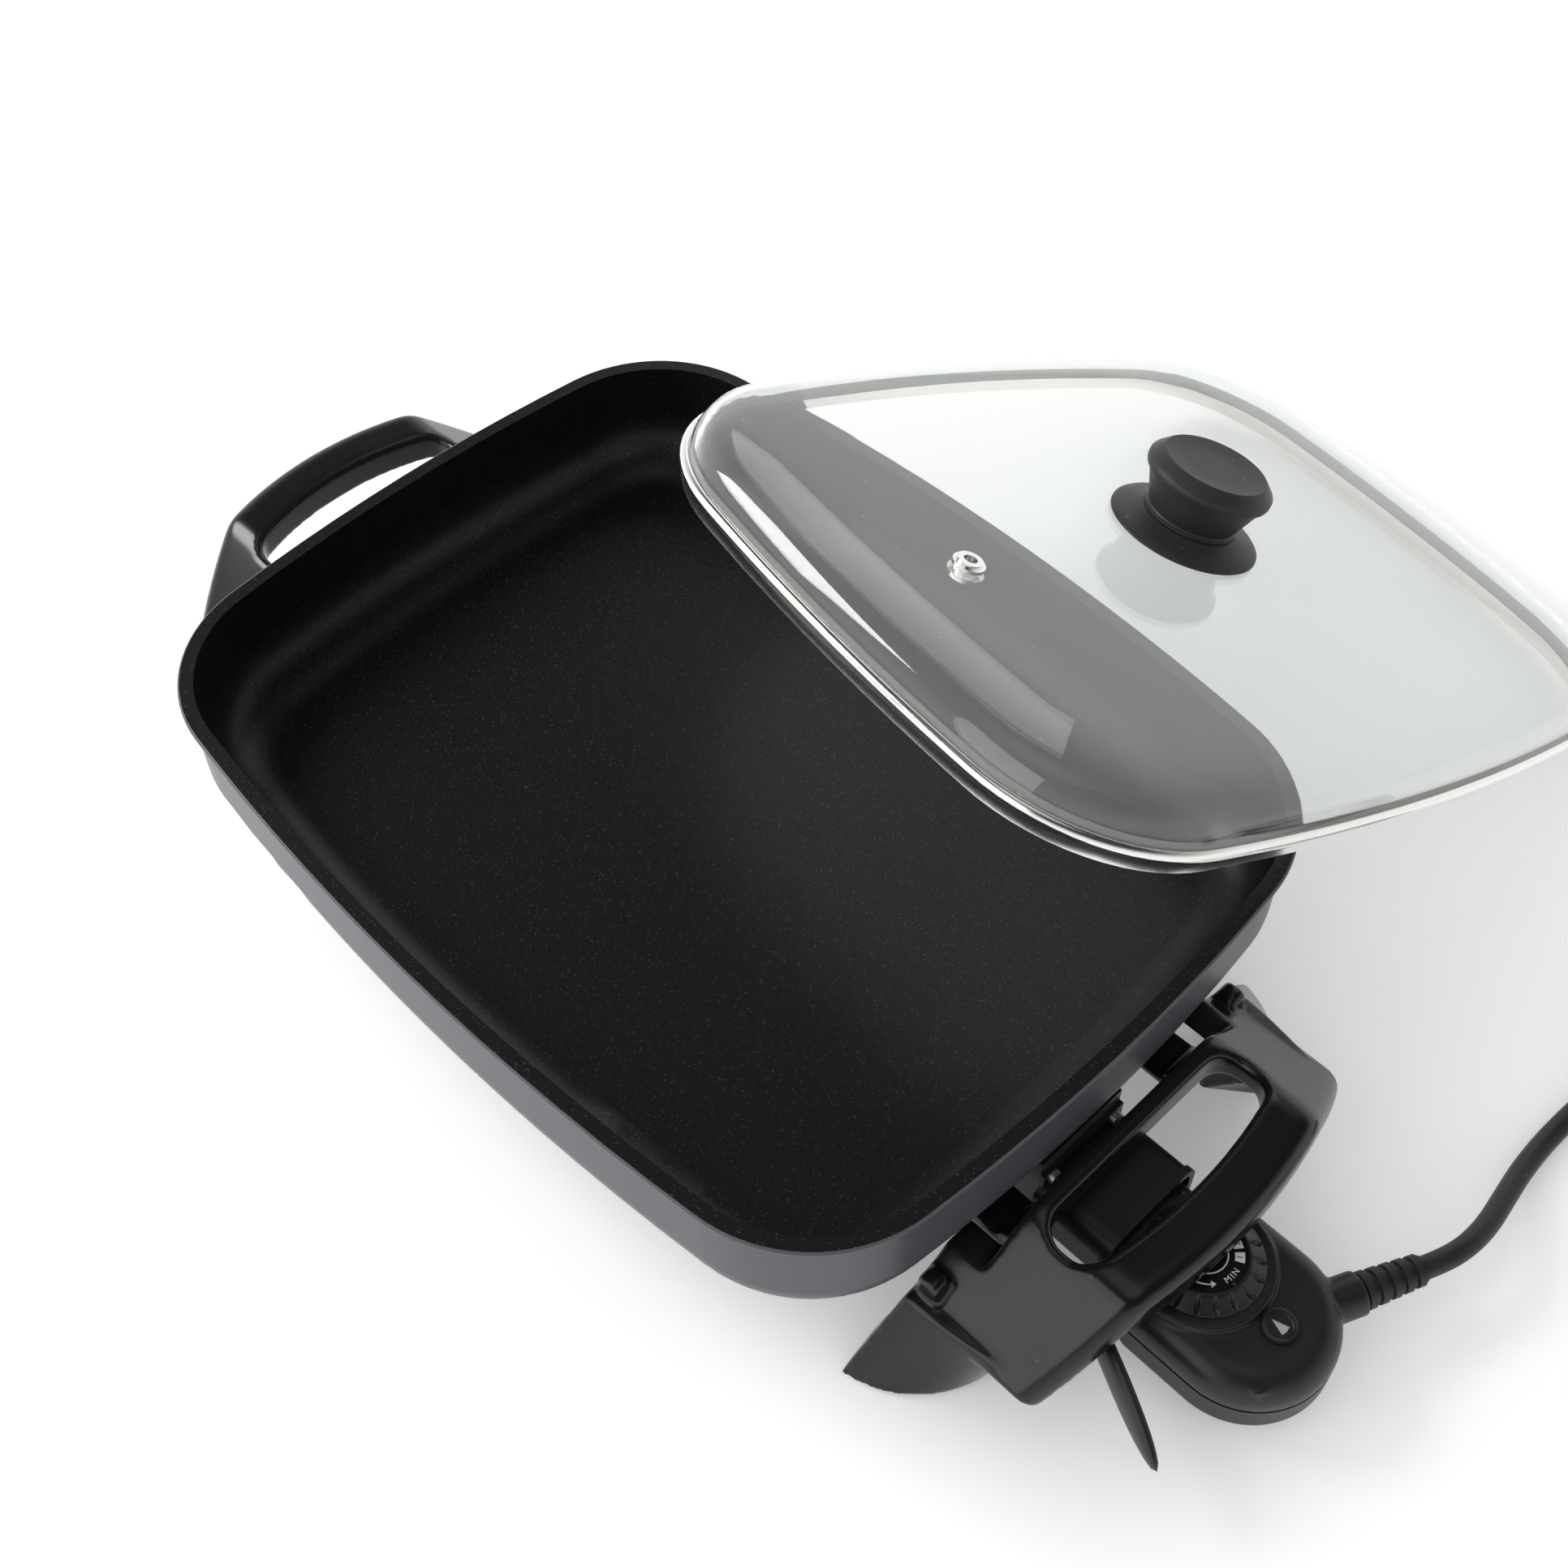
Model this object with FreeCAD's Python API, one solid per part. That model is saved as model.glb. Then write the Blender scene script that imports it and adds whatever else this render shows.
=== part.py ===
import FreeCAD
import Part
import math
import os
from FreeCAD import Vector as V

# Electric skillet: cast pan on two handle brackets, glass lid set down leaning on the rim,
# and a plug-in heat control with its cord. Millimetres, +Z up, table at Z = 0.
# Sizes below are given from the pan's centre; ORIGIN_X and ORIGIN_Y move the whole part
# so that its origin is the centre of its footprint.
ORIGIN_X = -16.966
ORIGIN_Y = -118.112

# Pan
RIM_HALF_X = 200.0
RIM_HALF_Y = 156.0
LONG_R = 1133.0
SHORT_R = 846.0
CORNER_R = 62.0
RIM_Z = 107.0
PAN_DEPTH = 55.0
RIM_OVERHANG = 3.0
RIM_THICK = 2.6
RIM_EDGE_R = 1.0
WALL = 3.4
BASE_THICK = 5.0
BOTTOM_R = 18.0
FLOOR_R = 24.0
MOUNT_BOSS_R = 7.5
MOUNT_BOSS_LEN = 7.0
MOUNT_X = RIM_HALF_X - 29.0
MOUNT_Y = 46.0
PAN_BOTTOM = RIM_Z - PAN_DEPTH

# Heating element under the pan
ELEMENT_INSET = 46.0
ELEMENT_WIDTH = 8.0
ELEMENT_HEIGHT = 6.0

# Socket: terminals, guide tube and guard
SOCKET_Y = -9.0
SOCKET_Z = 33.0
SOCKET_BOSS_X0 = RIM_HALF_X - 40.0
SOCKET_BOSS_X1 = RIM_HALF_X - 4.0
SOCKET_BOSS_HALF = 22.0
SOCKET_BOSS_Z0 = 25.0
TERMINAL_PITCH = 22.0
TERMINAL_R = 2.5
TERMINAL_COLLAR_R = 4.2
TERMINAL_COLLAR_LEN = 3.0
TERMINAL_LEN = 24.0
GUIDE_R = 4.4
GUIDE_BORE_R = 3.5
GUIDE_DEPTH = 26.0
GUIDE_PROUD = 6.0
GUARD_HALF = 25.0
GUARD_HALF_Z = 13.0
GUARD_WALL = 2.0
GUARD_CORNER_R = 8.0
GUARD_PLATE = 2.0
GUARD_END_X = RIM_HALF_X + 31.0
GUARD_TAB_Z = 54.0
GUARD_SCREW_Z = 50.2
GUARD_SCREW_PITCH = 34.0

# Handle brackets
FRONT_OUT = 62.0
FRONT_REACH = RIM_HALF_X + FRONT_OUT
FRONT_EDGE_R = 243.0
REAR_OUT = 81.0
REAR_REACH = RIM_HALF_X + REAR_OUT
REAR_EDGE_R = 150.0
HANDLE_TOP_Z = 67.0
HANDLE_HALF_FLAT = 50.0
HANDLE_THICK = 15.0
SHOULDER_THICK = 9.0
CREASE_Y = 92.0
CREASE_Z = 32.0
BAR_WIDTH = 22.0
HANDLE_GAP = 4.5
OPENING_HALF = 51.0
OPENING_FRONT_X = RIM_HALF_X + 12.0
OPENING_REAR_X = RIM_HALF_X + 22.0
OPENING_CORNER_R = 10.0
LIP_R = 2.5
TOP_EDGE_R = 7.0
BEND_R = 16.0
LEG_TOP_Z = 36.0
FOOT_Z = 2.0
ARM_WIDTH = 20.0
ARM_THICK = 6.0
ARM_END_X = RIM_HALF_X - 39.0
COVER_THICK = 2.5
COVER_INSET = 3.0
COVER_LEDGE = 2.0
COVER_GAP = 0.15
POCKET_DEPTH = 8.5
PAD_R = 6.5
PAD_THICK = 4.0
PAD_GAP = 0.05
PAD_PLACES = [(RIM_HALF_X + 5.0, 91.0), (RIM_HALF_X - 10.0, 106.0)]
LEG_FOOT_PLAN = [(RIM_HALF_X + x, y) for x, y in ((-17, 119), (8, 106.5), (21, 82), (0, 66), (-20, 98))]
LEG_HEAD_X0 = RIM_HALF_X - 12.0
LEG_HEAD_X1 = RIM_HALF_X + 30.0
LEG_HEAD_INNER_Y = 68.0
LEG_POCKET = (RIM_HALF_X - 30.0, 77.0, RIM_HALF_X + 6.0, 88.0)
LEG_POCKET_FLOOR = 8.0
LEG_POCKET_ROOF = 12.0
SHELF_X = RIM_HALF_X - 12.0
SHELF_DROP = 3.0
CLIP_X = RIM_HALF_X - 11.0
CLIP_LEN = 10.0
CLIP_WIDTH = 8.0
CLIP_Y = 80.0
CLIP_Z0 = 30.0
CLIP_Z1 = 47.0
CLIP_R = 3.5

# Fasteners
SCREW_R = 2.5
SCREW_HEAD_R = 4.6
SCREW_HEAD = 3.0
SCREW_GAP = 0.1

# Lid, in its own frame: flange underside at 0, +Z up, long axis along X
LID_HALF_X = 197.0
LID_CORNER_R = 76.0
BAND_THICK = 1.2
BAND_SKIRT = 6.0
BAND_SKIRT_INSET = 4.5
BAND_FLANGE = 14.0
COLLAR_INSET = 3.5
COLLAR_HEIGHT = 7.4
COLLAR_RETURN = 3.0
SEAL_THICK = 1.2
SEAL_GAP = 0.05
GLASS_THICK = 4.0
GLASS_EDGE_WIDTH = 7.0
GLASS_TOP = 25.0
GLASS_DOME_R = 5800.0
GLASS_SHOULDER_R = 11.0
KNOB_FOOT_R = 33.0
KNOB_FOOT_HEIGHT = 5.5
KNOB_FOOT_CHAMFER = 3.0
KNOB_NECK_R0 = 19.0
KNOB_NECK_R1 = 24.5
KNOB_NECK_HEIGHT = 18.5
KNOB_LIP_R = 20.5
KNOB_LIP_HEIGHT = 1.6
KNOB_CAP_R = 27.5
KNOB_CAP_HEIGHT = 8.5
KNOB_CAP_CHAMFER = 2.5
KNOB_DISH_R = 22.0
KNOB_DISH_DEPTH = 1.4
KNOB_SEAL_R = 13.0
KNOB_SEAL_THICK = 1.5
WASHER_R = 9.0
WASHER_THICK = 1.2
KNOB_SCREW_LEN = 34.0
VENT_X = -130.0
VENT_TUBE_R = 4.6
VENT_BORE_R = 2.8
VENT_RING_R = 6.8
VENT_RING_THICK = 1.8
VENT_UPPER_R = 5.4
VENT_UPPER_THICK = 1.4
VENT_COLLAR_R = 7.6
VENT_COLLAR_THICK = 1.6
SEAT_GAP = 0.05
SEAL_INSET = COLLAR_INSET + BAND_THICK + SEAL_GAP
GLASS_INSET = SEAL_INSET + SEAL_THICK + SEAL_GAP
GLASS_WALL_INSET = GLASS_INSET + GLASS_EDGE_WIDTH

# Pose of the lid as it is set down: turned, leaning on the rim and standing on the table
LID_AT = (53.02, 204.17, 82.41)
LID_YAW = 80.93
LID_PITCH = 23.396
LID_ROLL = -0.661

# Heat control
BODY_CENTRE_X = RIM_HALF_X + 78.0
BODY_R = 33.0
BODY_BACK_X = RIM_HALF_X + 43.0
BODY_TOP_Z = 39.0
BODY_SPLIT_Z = 24.0
BODY_BOTTOM_Z = 8.0
BODY_TOP_R = 11.0
BODY_BOTTOM_R = 6.0
BODY_BACK_R = 8.0
BODY_WALL = 3.0
TURRET_R = 26.5
TURRET_Z = 41.5
NOSE_X = RIM_HALF_X + 6.0
NOSE_HALF = 20.0
NOSE_HALF_Z = 8.0
NOSE_CORNER_R = 4.0
ROD_R = 2.9
ROD_TIP_X = RIM_HALF_X - 27.0
CONTACT_R = 4.6
CONTACT_BORE_R = 3.0
CONTACT_GAP = 0.05
CONTACT_LEN = 36.0
DIAL_X = RIM_HALF_X + 55.0
DIAL_R = 22.3
DIAL_HEIGHT = 5.4
DIAL_GAP = 0.3
DIAL_GRIPS = 28
GRIP_R = 0.9
DIAL_RECESS_R = 16.8
DIAL_RECESS = 0.8
DIAL_FACE_GAP = 0.3
SHAFT_R = 3.0
SHAFT_GAP = 0.05
SHAFT_END_Z = 28.0
LENS_X = RIM_HALF_X + 89.0
LENS_R = 6.7
LENS_STEM_R = 4.0
LENS_HEIGHT = 1.6
LAMP_R = 2.6
POST_R = 4.0
POST_OFFSET_Y = 23.0
POST_X = RIM_HALF_X + 62.0
POST_END_X = RIM_HALF_X + 96.0
POST_END_Y = 20.5
HOUSING_SCREW_R = 1.5
HOUSING_HEAD_R = 2.8
HOUSING_HEAD = 2.0
POSTS = [(POST_X, POST_OFFSET_Y), (POST_X, -POST_OFFSET_Y), (POST_END_X, -POST_END_Y)]
BLOCK_X0 = RIM_HALF_X + 81.0
BLOCK_X1 = RIM_HALF_X + 98.0
BLOCK_HALF = 12.0
BLOCK_TOP_Z = 22.0
FRAME_LEN = 32.0
FRAME_HALF = 11.0
FRAME_THICK = 2.0
BLADE_THICK = 1.0
BLADE_HALF = 4.0
BLADE_Z = 18.0
CLAMP_X0 = RIM_HALF_X + 83.0
CLAMP_LEN = 10.0
CLAMP_WIDTH = 9.5
CLAMP_HEIGHT = 5.0

# Ejector lever beside the control
LEVER_PIVOT = (FRONT_REACH - 25.0, -50.0)
LEVER_ANGLE = -27.0
LEVER_LEN = 58.0
LEVER_THICK = 4.0
LEVER_Z0 = 26.0
LEVER_Z1 = 46.0
LEVER_EYE_R = 5.0
LEVER_DIP = 1.5
LEVER_TOP_DROP = 2.4
PIN_R = 2.0
PIN_GAP = 0.05
PIN_HEAD_R = 3.5
PIN_HEAD = 1.2
PIN_SINK = 3.0
LEVER_END_GAP = 0.3

# Cord
CORD_R = 4.4
RELIEF_ROOT = (BODY_CENTRE_X + 21.5, 27.5, 27.5)
RELIEF_ANGLE = 66.0
RELIEF_LEN = 26.0
RELIEF_R0 = 7.2
RELIEF_R1 = 5.2
RELIEF_RINGS = 5
RING_PROUD = 1.0
RING_WIDTH = 2.8
BOSS_R = 8.4
BOSS_LEN = 24.0
COIL_CENTRE = (368.0, 235.0)
COIL_INNER_R = 41.0
COIL_PITCH = 9.6
COIL_LAYER = 9.4
COIL_TURNS = 2.5
COIL_LEAD = 10.0
CORD_FLOOR = 0.05
PLUG_R = 18.0
PLUG_LEN = 24.0
PLUG_NECK_R = 7.5
PLUG_NECK_LEN = 20.0
PLUG_AT_Y = 150.0
PRONG_R = 2.4
PRONG_LEN = 19.0
PRONG_PITCH = 19.0

CORD_POINTS = [
    (316.4, 71.0, 26.2),
    (316.6, 85.8, 22.2),
    (314.0, 104.5, 15.4),
    (311.4, 124.0, 8.8),
    (310.6, 146.0, 5.0),
    (312.3, 172.0, 4.45),
    (315.0, 200.0, 4.45),
]
CORD_LEAD = 9.0
TAIL_SHIFT = 2.0
TAIL_LEAD = 13.0
TAIL_POINTS = [
    (421.8, 197.0, 15.7),
]


def save(name, shape):
    placed = shape.copy()
    placed.translate(V(ORIGIN_X, ORIGIN_Y, 0))
    placed.exportStep("parts/" + name + ".step")
    box = placed.BoundBox
    print(name, "solids", len(placed.Solids), "volume", round(placed.Volume, 1),
          "box", [round(v, 1) for v in (box.XMin, box.YMin, box.ZMin, box.XMax, box.YMax, box.ZMax)])


def cylinder(radius, height, at, axis=V(0, 0, 1)):
    return Part.makeCylinder(radius, height, V(*at), axis)


def box(x0, y0, z0, x1, y1, z1):
    return Part.makeBox(x1 - x0, y1 - y0, z1 - z0, V(x0, y0, z0))


def mirror_y(shape):
    return shape.mirror(V(0, 0, 0), V(0, 1, 0))


def arc_point(centre, radius, angle, z):
    return V(centre[0] + radius * math.cos(angle), centre[1] + radius * math.sin(angle), z)


def rim_wire(half_x, half_y, corner_r, inset, z):
    # Rounded rectangle of four long arcs and four corner arcs, drawn in by inset.
    long_c = (0.0, half_y - LONG_R)
    short_c = (half_x - SHORT_R, 0.0)
    reach_a = LONG_R - corner_r
    reach_b = SHORT_R - corner_r
    dx = short_c[0] - long_c[0]
    dy = short_c[1] - long_c[1]
    gap = math.hypot(dx, dy)
    along = (reach_a ** 2 - reach_b ** 2 + gap ** 2) / (2 * gap)
    side = math.sqrt(reach_a ** 2 - along ** 2)
    cx = long_c[0] + along * dx / gap - side * dy / gap
    cy = long_c[1] + along * dy / gap + side * dx / gap
    if cx < 0 or cy < 0:
        cx = long_c[0] + along * dx / gap + side * dy / gap
        cy = long_c[1] + along * dy / gap - side * dx / gap
    turn_long = math.atan2(cy - long_c[1], cx - long_c[0])
    turn_short = math.atan2(cy - short_c[1], cx - short_c[0])
    turn_mid = (turn_long + turn_short) / 2
    p_long = arc_point(long_c, LONG_R - inset, turn_long, z)
    p_mid = arc_point((cx, cy), corner_r - inset, turn_mid, z)
    p_short = arc_point(short_c, SHORT_R - inset, turn_short, z)
    top = V(0, half_y - inset, z)
    end = V(half_x - inset, 0, z)

    def flip(p, sx, sy):
        return V(p.x * sx, p.y * sy, p.z)

    edges = [
        Part.Arc(flip(p_long, -1, 1), top, p_long).toShape(),
        Part.Arc(p_long, p_mid, p_short).toShape(),
        Part.Arc(p_short, end, flip(p_short, 1, -1)).toShape(),
        Part.Arc(flip(p_short, 1, -1), flip(p_mid, 1, -1), flip(p_long, 1, -1)).toShape(),
        Part.Arc(flip(p_long, 1, -1), flip(top, 1, -1), flip(p_long, -1, -1)).toShape(),
        Part.Arc(flip(p_long, -1, -1), flip(p_mid, -1, -1), flip(p_short, -1, -1)).toShape(),
        Part.Arc(flip(p_short, -1, -1), flip(end, -1, 1), flip(p_short, -1, 1)).toShape(),
        Part.Arc(flip(p_short, -1, 1), flip(p_mid, -1, 1), flip(p_long, -1, 1)).toShape(),
    ]
    return Part.Wire(edges)


def rim_block(half_x, half_y, corner_r, inset, z0, z1):
    face = Part.Face(rim_wire(half_x, half_y, corner_r, inset, z0))
    return face.extrude(V(0, 0, z1 - z0))


def flat_edges(shape, z):
    return [e for e in shape.Edges if abs(e.BoundBox.ZMin - z) < 1e-4 and abs(e.BoundBox.ZMax - z) < 1e-4]


def pan_block(inset, z0, z1):
    return rim_block(RIM_HALF_X, RIM_HALF_Y, CORNER_R, inset, z0, z1)


def make_pan():
    outer = pan_block(RIM_OVERHANG, PAN_BOTTOM, RIM_Z)
    outer = outer.makeFillet(BOTTOM_R, flat_edges(outer, PAN_BOTTOM))
    lip = pan_block(0, RIM_Z - RIM_THICK, RIM_Z)
    lip = lip.makeFillet(RIM_EDGE_R, flat_edges(lip, RIM_Z) + flat_edges(lip, RIM_Z - RIM_THICK))
    hollow = pan_block(RIM_OVERHANG + WALL, PAN_BOTTOM + BASE_THICK, RIM_Z + 1)
    hollow = hollow.makeFillet(FLOOR_R, flat_edges(hollow, PAN_BOTTOM + BASE_THICK))
    boss = box(SOCKET_BOSS_X0, SOCKET_Y - SOCKET_BOSS_HALF, SOCKET_BOSS_Z0,
               SOCKET_BOSS_X1, SOCKET_Y + SOCKET_BOSS_HALF, PAN_BOTTOM + BOTTOM_R / 2)
    pan = outer.fuse([lip, boss])
    for sx in (-1, 1):
        for sy in (-1, 1):
            at = (sx * MOUNT_X, sy * MOUNT_Y, PAN_BOTTOM - MOUNT_BOSS_LEN)
            post = cylinder(MOUNT_BOSS_R, MOUNT_BOSS_LEN + 1, at)
            pan = pan.fuse(post)
    pan = pan.cut(hollow)
    for sx in (-1, 1):
        for sy in (-1, 1):
            at = (sx * MOUNT_X, sy * MOUNT_Y, PAN_BOTTOM - MOUNT_BOSS_LEN)
            hole = cylinder(SCREW_R + SCREW_GAP, MOUNT_BOSS_LEN, at)
            pan = pan.cut(hole)
    bore = cylinder(GUIDE_R + SEAT_GAP, GUIDE_DEPTH, (SOCKET_BOSS_X1 - GUIDE_DEPTH, SOCKET_Y, SOCKET_Z),
                    V(1, 0, 0))
    pan = pan.cut(bore)
    for side in (-1, 1):
        at = (SOCKET_BOSS_X1 - 10, SOCKET_Y + side * GUARD_SCREW_PITCH / 2, GUARD_SCREW_Z)
        pan = pan.cut(cylinder(HOUSING_SCREW_R + SCREW_GAP, 10, at, V(1, 0, 0)))
    return pan.removeSplitter()


def make_element():
    z0 = PAN_BOTTOM - ELEMENT_HEIGHT
    ring = pan_block(ELEMENT_INSET, z0, PAN_BOTTOM).cut(
        pan_block(ELEMENT_INSET + ELEMENT_WIDTH, z0, PAN_BOTTOM))
    lead = TERMINAL_PITCH / 2
    inner_x = RIM_HALF_X - ELEMENT_INSET - ELEMENT_WIDTH - 4
    gap = box(inner_x, SOCKET_Y - lead, z0, SOCKET_BOSS_X0, SOCKET_Y + lead, PAN_BOTTOM)
    ring = ring.cut(gap)
    start_x = RIM_HALF_X - ELEMENT_INSET - ELEMENT_WIDTH / 2
    for side in (-1, 1):
        mid = SOCKET_Y + side * (lead + ELEMENT_WIDTH / 2)
        ring = ring.fuse(box(start_x, mid - ELEMENT_WIDTH / 2, z0, SOCKET_BOSS_X0,
                             mid + ELEMENT_WIDTH / 2, PAN_BOTTOM))
    return ring.removeSplitter()


def make_terminals():
    pins = []
    for side in (-1, 1):
        at = (SOCKET_BOSS_X1, SOCKET_Y + side * TERMINAL_PITCH / 2, SOCKET_Z)
        collar = cylinder(TERMINAL_COLLAR_R, TERMINAL_COLLAR_LEN, at, V(1, 0, 0))
        pin = cylinder(TERMINAL_R, TERMINAL_LEN, at, V(1, 0, 0))
        pin = pin.makeChamfer(0.8,
                              [e for e in pin.Edges
                               if e.BoundBox.XMin > SOCKET_BOSS_X1 + TERMINAL_LEN - 0.1])
        pins.append(collar.fuse(pin))
    return Part.makeCompound(pins)


def make_guide_tube():
    at = (SOCKET_BOSS_X1 - GUIDE_DEPTH, SOCKET_Y, SOCKET_Z)
    tube = cylinder(GUIDE_R, GUIDE_DEPTH + GUIDE_PROUD, at, V(1, 0, 0))
    return tube.cut(cylinder(GUIDE_BORE_R, GUIDE_DEPTH + GUIDE_PROUD, at, V(1, 0, 0)))


def rounded_tunnel(x0, x1, half_y, half_z, corner_r):
    block = box(x0, SOCKET_Y - half_y, SOCKET_Z - half_z, x1, SOCKET_Y + half_y, SOCKET_Z + half_z)
    edges = [e for e in block.Edges if e.BoundBox.XLength > x1 - x0 - 0.1]
    return block.makeFillet(corner_r, edges)


def make_guard():
    x0 = SOCKET_BOSS_X1
    sleeve = rounded_tunnel(x0, GUARD_END_X, GUARD_HALF, GUARD_HALF_Z, GUARD_CORNER_R)
    inside = rounded_tunnel(x0 + GUARD_PLATE, GUARD_END_X + 1, GUARD_HALF - GUARD_WALL,
                            GUARD_HALF_Z - GUARD_WALL, GUARD_CORNER_R - GUARD_WALL)
    rolled = rounded_tunnel(GUARD_END_X - 3, GUARD_END_X, GUARD_HALF + 1, GUARD_HALF_Z + 1,
                            GUARD_CORNER_R + 1)
    tab = box(x0, SOCKET_Y - SOCKET_BOSS_HALF, SOCKET_Z, x0 + GUARD_PLATE, SOCKET_Y + SOCKET_BOSS_HALF,
              GUARD_TAB_Z)
    window = box(x0 - 1, SOCKET_Y - TERMINAL_PITCH / 2 - TERMINAL_COLLAR_R - 1.5,
                 SOCKET_Z - TERMINAL_COLLAR_R - 1.5,
                 x0 + GUARD_PLATE + 1, SOCKET_Y + TERMINAL_PITCH / 2 + TERMINAL_COLLAR_R + 1.5,
                 SOCKET_Z + TERMINAL_COLLAR_R + 1.5)
    guard = sleeve.fuse([rolled, tab]).cut(inside).cut(window)
    for side in (-1, 1):
        at = (x0, SOCKET_Y + side * GUARD_SCREW_PITCH / 2, GUARD_SCREW_Z)
        guard = guard.cut(cylinder(HOUSING_SCREW_R + SCREW_GAP, GUARD_PLATE, at, V(1, 0, 0)))
    return guard.removeSplitter()


def make_guard_screws():
    screws = []
    for side in (-1, 1):
        y = SOCKET_Y + side * GUARD_SCREW_PITCH / 2
        head = cylinder(HOUSING_HEAD_R, HOUSING_HEAD, (SOCKET_BOSS_X1 + GUARD_PLATE, y, GUARD_SCREW_Z),
                        V(1, 0, 0))
        shank = cylinder(HOUSING_SCREW_R, GUARD_PLATE + 8, (SOCKET_BOSS_X1 - 8, y, GUARD_SCREW_Z), V(1, 0, 0))
        screws.append(head.fuse(shank))
    return Part.makeCompound(screws)


def polygon_prism(points, axis_vector):
    wire = Part.makePolygon([V(*p) for p in points] + [V(*points[0])])
    return Part.Face(wire).extrude(axis_vector)


def arch_solid(x0, x1):
    # Side view of the bracket: flat over the grip, sloping down to the crease at both ends.
    run = CREASE_Y - HANDLE_HALF_FLAT
    drop = HANDLE_TOP_Z - CREASE_Z
    length = math.hypot(run, drop)
    low_y = CREASE_Y - SHOULDER_THICK * drop / length
    low_z = CREASE_Z - SHOULDER_THICK * run / length
    under_z = HANDLE_TOP_Z - HANDLE_THICK
    under_y = low_y - (under_z - low_z) * run / drop
    right = [(x0, 0, HANDLE_TOP_Z), (x0, HANDLE_HALF_FLAT, HANDLE_TOP_Z), (x0, CREASE_Y, CREASE_Z),
             (x0, low_y, low_z), (x0, under_y, under_z)]
    left = [(x, -y, z) for x, y, z in reversed(right[1:])]
    solid = polygon_prism(right + left, V(x1 - x0, 0, 0))
    bends = [e for e in solid.Edges if abs(e.BoundBox.ZMax - HANDLE_TOP_Z) < 1e-4
             and abs(e.BoundBox.ZMin - HANDLE_TOP_Z) < 1e-4 and e.BoundBox.XLength > x1 - x0 - 0.1]
    bends = [e for e in bends if abs(abs(e.BoundBox.YMax) - HANDLE_HALF_FLAT) < 1e-3]
    return solid.makeFillet(BEND_R, bends)


def arc_through(p0, p1, p2):
    return Part.Arc(V(*p0), V(*p1), V(*p2)).toShape()


def line(p0, p1):
    return Part.LineSegment(V(*p0), V(*p1)).toShape()


def edge_x(reach, radius, y):
    return reach - radius + math.sqrt(radius ** 2 - y ** 2)


def plan_prism(inner_x, reach, radius, half, z0, z1):
    # Plan region between a straight inner edge and an arc about the bracket's centre line.
    outer_end = edge_x(reach, radius, half)
    wire = Part.Wire([
        line((inner_x, -half, z0), (outer_end, -half, z0)),
        arc_through((outer_end, -half, z0), (reach, 0, z0), (outer_end, half, z0)),
        line((outer_end, half, z0), (inner_x, half, z0)),
        line((inner_x, half, z0), (inner_x, -half, z0)),
    ])
    return Part.Face(wire).extrude(V(0, 0, z1 - z0))


def make_leg():
    foot = FOOT_Z
    top = LEG_TOP_Z
    toe, side, heel, inner, back = [(x, y, foot) for x, y in LEG_FOOT_PLAN]
    low = Part.Wire([arc_through(toe, side, heel), line(heel, inner), line(inner, back), line(back, toe)])
    mid_x = (LEG_HEAD_X0 + LEG_HEAD_X1) / 2 + 3
    head = [(LEG_HEAD_X0, CREASE_Y, top), (mid_x, CREASE_Y - 0.6, top), (LEG_HEAD_X1, CREASE_Y - 3, top),
            (LEG_HEAD_X1 - 4, LEG_HEAD_INNER_Y, top), (LEG_HEAD_X0, LEG_HEAD_INNER_Y + 4, top)]
    high = Part.Wire([arc_through(*head[:3]), line(head[2], head[3]), line(head[3], head[4]),
                      line(head[4], head[0])])
    leg = Part.makeLoft([low, high], True, True)
    x0, y0, x1, y1 = LEG_POCKET
    return leg.cut(box(x0, y0, foot + LEG_POCKET_FLOOR, x1, y1, top - LEG_POCKET_ROOF))


def handle_opening(inner_x, reach, radius):
    hole = plan_prism(inner_x, reach - BAR_WIDTH, radius - BAR_WIDTH, OPENING_HALF, 20, 90)
    edges = [e for e in hole.Edges if e.BoundBox.ZLength > 60]
    return hole.makeFillet(OPENING_CORNER_R, edges)


def handle_pocket(reach, radius, inset, z0, z1):
    outer = plan_prism(0, reach - inset, radius - inset, OPENING_HALF - 10, z0, z1)
    inner = plan_prism(0, reach - BAR_WIDTH + inset, radius - BAR_WIDTH + inset, OPENING_HALF - 9,
                       z0 - 1, z1 + 1)
    return outer.cut(inner)


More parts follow.
